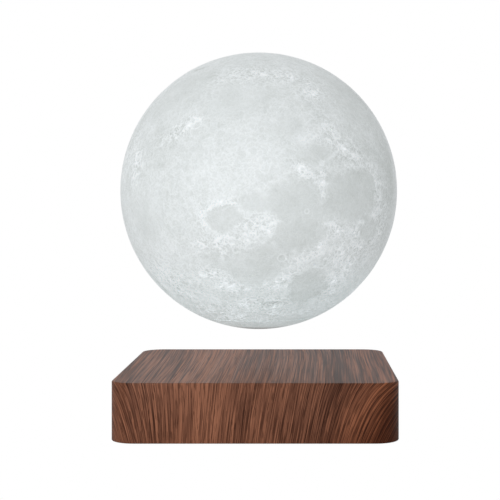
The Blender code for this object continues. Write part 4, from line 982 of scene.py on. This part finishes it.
def bore_socket_hole(casing):
    """Cuts the round hole for the power socket's collar through the back wall."""
    pin_low, pin_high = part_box("power_socket_pin")
    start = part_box("walnut_casing")[1].y - 9 * MM
    radius, reach = 5.5 * MM, 12 * MM
    drill = turned([(0, 0), (radius, 0), (radius, reach), (0, reach)], columns=64)
    drill = drill[..., [0, 2, 1]] + (0, start, (pin_low.z + pin_high.z) / 2)
    cutter = grid_object("socket_drill", drill)
    modifier = casing.modifiers.new("socket_hole", "BOOLEAN")
    modifier.operation = "DIFFERENCE"
    modifier.object = cutter
    bored = casing.evaluated_get(bpy.context.evaluated_depsgraph_get())
    bored = bpy.data.meshes.new_from_object(bored)
    casing.modifiers.clear()
    casing.data = bored
    bpy.data.objects.remove(cutter, do_unlink=True)


class LAMP_OT_feet(bpy.types.Operator):
    """Build the four rubber feet"""

    bl_idname = "lamp.feet"
    bl_label = "Rubber feet"

    def execute(self, context):
        rubber = speckled("moulded_rubber")
        edge = 0.35 * MM
        for corner in CORNERS:
            node = f"foot_{corner}"
            middle, low, high, radius = middle_of(node)
            rounded = arc((radius - edge, low + edge), edge, -90, 0, 5)
            profile = [(0, low), *rounded, (radius, high), (0, high)]
            grid = turned(profile, columns=56) + middle
            add_piece(f"rubber_{node}", grid, rubber, "base", (node,))
        return {"FINISHED"}


def cross_recess(flat, reach, width, depth):
    """The sunk cross of a flat grid: the depth times a smooth step of the distance inside two
    crossed bars."""
    x, y = np.abs(flat[..., 0]), np.abs(flat[..., 1])
    first, second = np.minimum(reach - x, width - y), np.minimum(reach - y, width - x)
    return depth * smooth(np.maximum(first, second) / (0.5 * width))


def threaded_screw(head, head_height, shank, tip, pitch, countersunk):
    """A cross-head screw on the axis, with its head's face at z = 0 and its tip above: a turned
    profile whose shank swells and shrinks as a ramp of height over pitch less turn."""
    columns = 72
    face = np.linspace(0, head, 26)
    flat = turned(np.column_stack([face, 0 * face]), columns)
    cross = {"reach": 0.62 * head, "width": 0.17 * head, "depth": 0.75 * head_height}
    flat[..., 2] += cross_recess(flat, **cross)
    if countersunk:
        side = [(head, 0.12 * MM), (shank, head_height)]
    else:
        side = [(head, 0.6 * head_height), (head * 0.96, head_height), (shank, head_height)]
    steps = int((tip - head_height) / pitch * 8)
    heights = np.linspace(head_height + 0.1 * MM, tip, steps)
    taper = np.clip((tip - heights) / (1.5 * pitch), 0.1, 1)
    shaft = turned(np.column_stack([np.full(steps, shank), heights]), columns)
    turn = full_turn(columns)[None, :] / (2 * np.pi)
    wave = np.abs(((heights[:, None] / pitch - turn) % 1) * 2 - 1)
    narrow = (1 - 0.22 * wave) * taper[:, None]
    shaft[..., :2] *= narrow[..., None]
    return np.concatenate([flat, turned(side, columns), shaft, turned([(0, tip)], columns)])


def ring_of_holes(radius, holes, seat, reach, start=0):
    """Screw holes at even angles round the axis: x and y of each, and their seat and reach."""
    angles = full_turn(holes) + start
    return [(radius * math.cos(a), radius * math.sin(a), seat, reach) for a in angles]


class LAMP_OT_screws(bpy.types.Operator):
    """Build the cover's screws and the small screws of the boards and the magnet carrier"""

    bl_idname = "lamp.screws"
    bl_label = "Screws"

    def execute(self, context):
        zinc = speckled("zinc_plated_steel")
        for corner in CORNERS:
            node = f"cover_screw_{corner}"
            middle, low, high, _ = middle_of(node)
            size = {"head": 2.7 * MM, "head_height": 1.5 * MM, "shank": 1.5 * MM, "pitch": 1 * MM}
            screw = threaded_screw(countersunk=True, tip=high - low, **size)
            grid = screw + middle + (0, 0, low)
            add_piece(f"{node}_threaded", grid, zinc, "base", (node,))

        # Small pan heads, each with its face upwards on what it holds
        board_low, board_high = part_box("main_board")
        circle = middle_of("base_magnet_1")[0][0]
        carrier_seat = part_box("magnet_carrier")[1].z - 2 * MM
        module = ring_of_holes(circle, 4, carrier_seat, 15 * MM, np.pi / 8)
        back, board_top = board_high.y - 8 * MM, board_low.z + BOARD_THICK
        module += [(side * 26 * MM, back, board_top, 5 * MM) for side in (-1, 1)]
        receiver_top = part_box("receiver_board")[0].z + RECEIVER_THICK
        lamp = ring_of_holes(26.75 * MM, 3, receiver_top, 3.6 * MM)
        lamp += ring_of_holes(12.5 * MM, 3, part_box("light_board")[1].z, 4.4 * MM)
        # Their sizes are the radius and height of the head, the shank's radius and the pitch
        for name, body, sizes, holes in (
            ("module_screw", "base", (2.3, 1.4, 1.2, 0.8), module),
            ("lamp_screw", "moon", (1.8, 1.1, 0.9, 0.6), lamp),
        ):
            head, thick, shank, pitch = (size * MM for size in sizes)
            for number, (x, y, seat, reach) in enumerate(holes, 1):
                tip = thick + reach
                screw = threaded_screw(head, thick, shank, tip, pitch, countersunk=False)
                grid = screw * (1, 1, -1) + (x, y, seat + thick)
                add_piece(f"{name}_{number}", grid, zinc, body)
        return {"FINISHED"}


def capacitor_can(radius, low, high):
    """A can on the axis: a profile with a rubber foot, a rolled groove and a rolled top edge,
    and a face that is scored with a cross so that it can burst safely."""
    height = high - low
    # Shares of the radius, with shares of the height from below, and of the radius from above
    foot = ((0, 0), (0.7, 0), (0.8, 0.03), (1, 0.06))
    groove = ((1, 0.14), (0.9, 0.17), (0.9, 0.19), (1, 0.22))
    edge = ((1, 0.06), (0.95, 0), (0.88, 0), (0.84, 0.05))
    profile = [(share * radius, low + rise * height) for share, rise in (*foot, *groove)]
    profile += [(share * radius, high - drop * radius) for share, drop in edge]
    columns, rows = 64, 24
    face = np.linspace(0.83 * radius, 0, rows)
    flat = turned(np.column_stack([face, np.full(rows, high - 0.05 * radius)]), columns)
    cross = {"reach": 0.7 * radius, "width": 0.08 * radius, "depth": 0.05 * radius}
    flat[..., 2] -= cross_recess(flat, **cross)
    return np.concatenate([turned(profile, columns), flat])


class LAMP_OT_round_parts(bpy.types.Operator):
    """Turn the magnets, the capacitors, the coils' cores and bobbins, and the light"""

    bl_idname = "lamp.round_parts"
    bl_label = "Round parts"

    def execute(self, context):
        nickel, iron = speckled("nickel_plated_magnet"), speckled("soft_iron")
        can, sleeve = speckled("drawn_aluminium"), speckled("tinned_copper_lead")
        nylon = speckled("moulded_nylon")
        discs = [(f"base_magnet_{number}", nickel, "magnet", 0.5) for number in range(1, 9)]
        discs += [("moon_magnet", nickel, "magnet", 0.5)]
        discs += [(f"coil_core_{side}", iron, "iron", 0.3) for side in COILS]
        discs += [(f"light_lead_{end}", sleeve, "copper", 0.1) for end in ("front", "back")]
        for node, finish, slot, edge in discs:
            middle, low, high, radius = middle_of(node)
            profile = round_edged(radius, low, high, edge * MM)
            columns = 96 if radius > 5 * MM else 40
            grid = turned(profile, columns) + middle
            add_piece(f"{node}_turned", grid, finish, frame_body(node), (node,))

        cans = [f"capacitor_{side}" for side in ("left", "right")]
        cans += [f"receiver_capacitor_{end}" for end in ("front", "back")]
        for node in cans:
            middle, low, high, _ = middle_of(node)
            radius = (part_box(node)[1].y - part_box(node)[0].y) / 2
            grid = capacitor_can(radius, low, high) + middle
            add_piece(f"{node}_can", grid, can, frame_body(node), (node,))

        # Bobbins: the lower flange from the bore to the barrel, and the same from above
        flange, barrel, bore, wall, edge = (part * MM for part in (8, 4.2, 3.3, 0.8, 0.15))
        rim = [(bore, 0), (flange - edge, 0), (flange, edge), (flange, wall - edge)]
        rim += [(flange - edge, wall), (barrel, wall)]
        for side in COILS:
            node = f"coil_bobbin_{side}"
            middle, low, high, _ = middle_of(node)
            spool = [(reach, low + rise) for reach, rise in rim]
            spool += [(reach, high - rise) for reach, rise in reversed(rim)]
            grid = turned(spool, columns=72) + middle
            add_piece(f"{node}_spool", grid, nylon, "base", (node,), closed=True)

        # The light: a rim with a shallow dome on it
        low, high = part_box("light")
        radius, rim, chamfer = high.x, low.z + 0.8 * MM, 0.2 * MM
        profile = [(0, low.z), (radius, low.z), (radius, rim - chamfer), (radius - chamfer, rim)]
        profile += [(5.6 * MM, rim), *arc((0, rim), (5.5 * MM, high.z - rim), 0, 90, 10)]
        phosphor = glowing_phosphor(context.scene.lamp_metal.phosphor)
        grid = turned(profile, columns=72)
        add_piece("light_dome", grid, phosphor, "moon", ("light",))
        return {"FINISHED"}


def level_winding(outer, low, high, inner, pitch):
    """A ring whose outside is ribbed by one wire that climbs a pitch in each turn: the outer
    radius less half a pitch times (1 - sqrt(1 - s^2)), where s runs from -1 to 1 across a wire,
    by height over pitch less turn."""
    columns = 64
    heights = np.linspace(low, high, int(8 * (high - low) / pitch))
    wall = turned(np.column_stack([np.ones(len(heights)), heights]), columns)
    turn = full_turn(columns)[None, :] / (2 * np.pi)
    across = 2 * ((heights[:, None] / pitch - turn) % 1) - 1
    reach = outer - pitch / 2 * (1 - np.sqrt(1 - across**2))
    wall[..., :2] *= reach[..., None]
    return np.concatenate([wall, turned([(inner, high), (inner, low)], columns)])


class LAMP_OT_windings(bpy.types.Operator):
    """Build the flat coils, the steering coils and the touch spring of round wire"""

    bl_idname = "lamp.windings"
    bl_label = "Windings"

    def execute(self, context):
        copper = speckled("enamelled_copper")
        for node, wire, turns, eye, body in (
            ("power_coil", 0.8 * MM, 8, 27.6 * MM, "base"),
            ("receiving_coil", 0.65 * MM, 7, 8.6 * MM, "moon"),
        ):
            low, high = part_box(node)
            height = (low.z + high.z) / 2
            path = coil_path(high.x - wire, eye + wire, turns, height, height, steps=72)
            grid = tube(path, wire, sides=14)
            add_piece(f"{node}_wire", grid, copper, body, (node,))

        steel = speckled("spring_steel")
        middle, low, high, _ = middle_of("touch_spring")
        wire, wide, narrow, turns = 0.4 * MM, 3.2 * MM, 1.8 * MM, 6
        path = coil_path(wide, narrow, turns, low + wire, high - wire, steps=40)
        grid = tube(path + (0, middle[1], 0), wire, sides=12)
        add_piece("touch_spring_wire", grid, steel, "base", ("touch_spring",))

        for side in COILS:
            node = f"coil_winding_{side}"
            middle, low, high, outer = middle_of(node)
            grid = level_winding(outer, low, high, inner=4.5 * MM, pitch=0.7 * MM) + middle
            name = f"{node}_wire"
            add_piece(name, grid, copper, "base", (node,), closed=True, sharp=80)
        return {"FINISHED"}


class LAMP_OT_socket(bpy.types.Operator):
    """Build the power socket with its collar, bore and centre pin"""

    bl_idname = "lamp.socket"
    bl_label = "Power socket"

    def execute(self, context):
        low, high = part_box("power_socket")
        pin_low, pin_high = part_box("power_socket_pin")
        height = (pin_low.z + pin_high.z) / 2
        face, edge = high.y - 2 * MM, 0.5 * MM

        # Rounded rectangles from the back to the face, and then circles: the collar, its
        # countersunk mouth, and the bore down to its floor
        steps = 12
        columns = 4 * (steps + 1)
        rows = [(2 * MM, low.y), (edge, low.y), (0, low.y + edge), (0, face - edge), (edge, face)]
        rows = [(inset, y, max(1.2 * MM - inset, 0.4 * MM)) for inset, y in rows]
        half_height = (high.z - low.z) / 2
        box = rounded_stack(rows, (high.x - low.x) / 2, half_height, steps)[:-1, :, [0, 2, 1]]
        outer, bore, mouth, floor = 5.1 * MM, 3.1 * MM, 0.4 * MM, face - 9 * MM
        profile = [(outer, face), (outer, high.y - mouth), (outer - mouth, high.y)]
        profile += [(bore + mouth, high.y), (bore, high.y - mouth), (bore, floor), (0, floor)]
        start = np.pi / 4 - np.pi * steps / columns
        collar = turned(profile, columns, start)[..., [0, 2, 1]]
        grid = np.concatenate([box + (0, 0, low.z + half_height), collar + (0, 0, height)])
        plastic = speckled("glossy_nylon")
        add_piece("power_socket_shell", grid, plastic, "base", ("power_socket",))

        radius = 1.05 * MM
        nose = arc((0, pin_high.y - radius), radius, 0, 90, 7)
        pin = turned([(0, pin_low.y), (radius, pin_low.y), *nose], columns=36)
        grid = pin[..., [0, 2, 1]] + (0, 0, height)
        steel = speckled("nickel_plated_pin")
        add_piece("power_socket_centre", grid, steel, "base", ("power_socket_pin",))
        return {"FINISHED"}


class LAMP_OT_fittings(bpy.types.Operator):
    """Build the touch strip, and finish the CAD solids that keep their shape"""

    bl_idname = "lamp.fittings"
    bl_label = "Fittings"

    def execute(self, context):
        metal = context.scene.lamp_metal
        dress(speckled("moulded_abs"), "bottom_cover", "magnet_carrier", "power_coil_former")
        dress(speckled("pressed_nylon"), "sensor_post")
        sensors = [f"position_sensor_{side}" for side in COILS[:3]]
        dress(speckled("moulded_epoxy"), "inductor", *sensors)
        dress(speckled("turned_brass"), *[f"light_standoff_{number}" for number in (1, 2, 3)])

        strip = speckled("rolled_copper")
        low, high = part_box("touch_plate")
        inset, edge = 4 * MM, 0.1 * MM
        rows = [(inset, low.z), (edge, low.z), (0, low.z + edge)]
        rows += [(0, high.z - edge), (edge, high.z), (inset, high.z)]
        rows = [(inset, height, max(1.5 * MM - inset, 0.3 * MM)) for inset, height in rows]
        grid = rounded_stack(rows, high.x, (high.y - low.y) / 2, steps=6)
        grid = grid + (0, (low.y + high.y) / 2, 0)
        add_piece("touch_strip", grid, strip, "base", ("touch_plate",))

        main_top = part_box("main_board")[0].z + BOARD_THICK
        receiver_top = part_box("receiver_board")[0].z + RECEIVER_THICK
        for name, mask, top, node in (
            ("green_circuit_board", metal.board, main_top, "main_board"),
            ("receiver_circuit", metal.board, receiver_top, "receiver_board"),
            ("white_light_board", metal.light_board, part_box("light_board")[1].z, "light_board"),
        ):
            dress(soldered_board(name, mask, metal.chip, top), node)
        return {"FINISHED"}


# Stage ---------------------------------------------------------------------------------------


def show_plain(node, shown, lit, output):
    """Lets the camera see one shader, while the lamp is lit by the other."""
    seen = node("LightPath", output="Is Camera Ray")
    both = node("MixShader", (seen, lit, shown))
    node(output, (both,))


class LAMP_OT_stage(bpy.types.Operator):
    """Build the floor, the soft light and the camera"""

    bl_idname = "lamp.stage"
    bl_label = "Stage"

    def execute(self, context):
        scene = context.scene
        stage = scene.lamp_stage
        scene.view_settings.view_transform = "Standard"
        scene.view_settings.look = "None"

        # The floor and the backdrop show their plain colour, and light the lamp more softly
        world = scene.world or bpy.data.worlds.new("soft_studio")
        scene.world = world
        world.use_nodes = True
        world.node_tree.nodes.clear()
        node = partial(add, world.node_tree)
        behind = node("TexCoord", output="Generated")
        behind = node("VectorMath", (behind, (0, 0.95, 0.3)), 1, operation="DOT_PRODUCT")
        fill = (behind, 0.1, 1, stage.fill_front, stage.fill_back)
        strength = node("MapRange", fill, interpolation_type="SMOOTHSTEP")
        shown = node("Background", (stage.background, 1))
        show_plain(node, shown, node("Background", (stage.background, strength)), "OutputWorld")

        reach = 4.0
        corners = ((-reach, -reach), (reach, -reach), (reach, reach), (-reach, reach))
        mesh = bpy.data.meshes.new("floor")
        mesh.from_pydata([(x, y, -0.01 * MM) for x, y in corners], [], [(0, 1, 2, 3)])
        floor = bpy.data.objects.new("floor", mesh)
        material = bpy.data.materials.new("plain_paper")
        material.use_nodes = True
        material.node_tree.nodes.clear()
        node = partial(add, material.node_tree)
        shown = node("Emission", (stage.background, 1))
        show_plain(node, shown, node("BsdfDiffuse", (stage.bounce,)), "OutputMaterial")
        mesh.materials.append(material)

        # Key light: a large soft panel, from the upper left of the camera
        panel = bpy.data.lights.new("key_panel", "AREA")
        panel.shape = "DISK"
        panel.size = 0.5
        panel.energy = stage.key
        aim, distance = Vector((0, 0, 0.1)), 1.2
        towards = Vector(unit(-18, 16))
        key = bpy.data.objects.new("key_panel", panel)
        key.location = aim + towards * distance
        key.rotation_euler = towards.to_track_quat("Z", "Y").to_euler()

        lens = bpy.data.cameras.new("photo_view")
        lens.sensor_width = lens.sensor_height = 36
        lens.sensor_fit = "HORIZONTAL"
        lens.lens = stage.lens
        lens.shift_x, lens.shift_y = -0.0996, -0.09
        camera = bpy.data.objects.new("photo_view", lens)
        camera.location = (0.0225, -0.682, 0.1192)
        camera.rotation_euler = (math.pi / 2, 0, 0)
        for item in (floor, key, camera):
            scene.collection.objects.link(item)
        scene.camera = camera
        return {"FINISHED"}


class LAMP_PT_panel(bpy.types.Panel):
    """Lists the lamp's pieces and their settings"""

    bl_label = "Moon Lamp"
    bl_idname = "LAMP_PT_panel"
    bl_space_type = "VIEW_3D"
    bl_region_type = "UI"
    bl_category = "Moon Lamp"

    def draw(self, context):
        for operator in OPERATORS:
            self.layout.operator(operator.bl_idname)
        for name in GROUPS:
            group, box = getattr(context.scene, name), self.layout.box()
            for setting in group.__annotations__:
                box.prop(group, setting)


OPERATORS = (
    LAMP_OT_stage,
    LAMP_OT_moon,
    LAMP_OT_casing,
    LAMP_OT_feet,
    LAMP_OT_screws,
    LAMP_OT_round_parts,
    LAMP_OT_windings,
    LAMP_OT_socket,
    LAMP_OT_fittings,
)
GROUPS = {
    "lamp_moon": LampMoon,
    "lamp_base": LampBase,
    "lamp_metal": LampMetal,
    "lamp_stage": LampStage,
}
CLASSES = (*GROUPS.values(), *OPERATORS, LAMP_PT_panel)


def register():
    for item in CLASSES:
        bpy.utils.register_class(item)
    for name, group in GROUPS.items():
        setattr(bpy.types.Scene, name, PointerProperty(type=group))


def unregister():
    for name in GROUPS:
        delattr(bpy.types.Scene, name)
    for item in reversed(CLASSES):
        bpy.utils.unregister_class(item)


def main():
    register()
    bpy.ops.lamp.stage()
    bpy.ops.lamp.moon()
    bpy.ops.lamp.casing()
    bpy.ops.lamp.feet()
    bpy.ops.lamp.screws()
    bpy.ops.lamp.round_parts()
    bpy.ops.lamp.windings()
    bpy.ops.lamp.socket()
    bpy.ops.lamp.fittings()


if __name__ == "__main__":
    main()
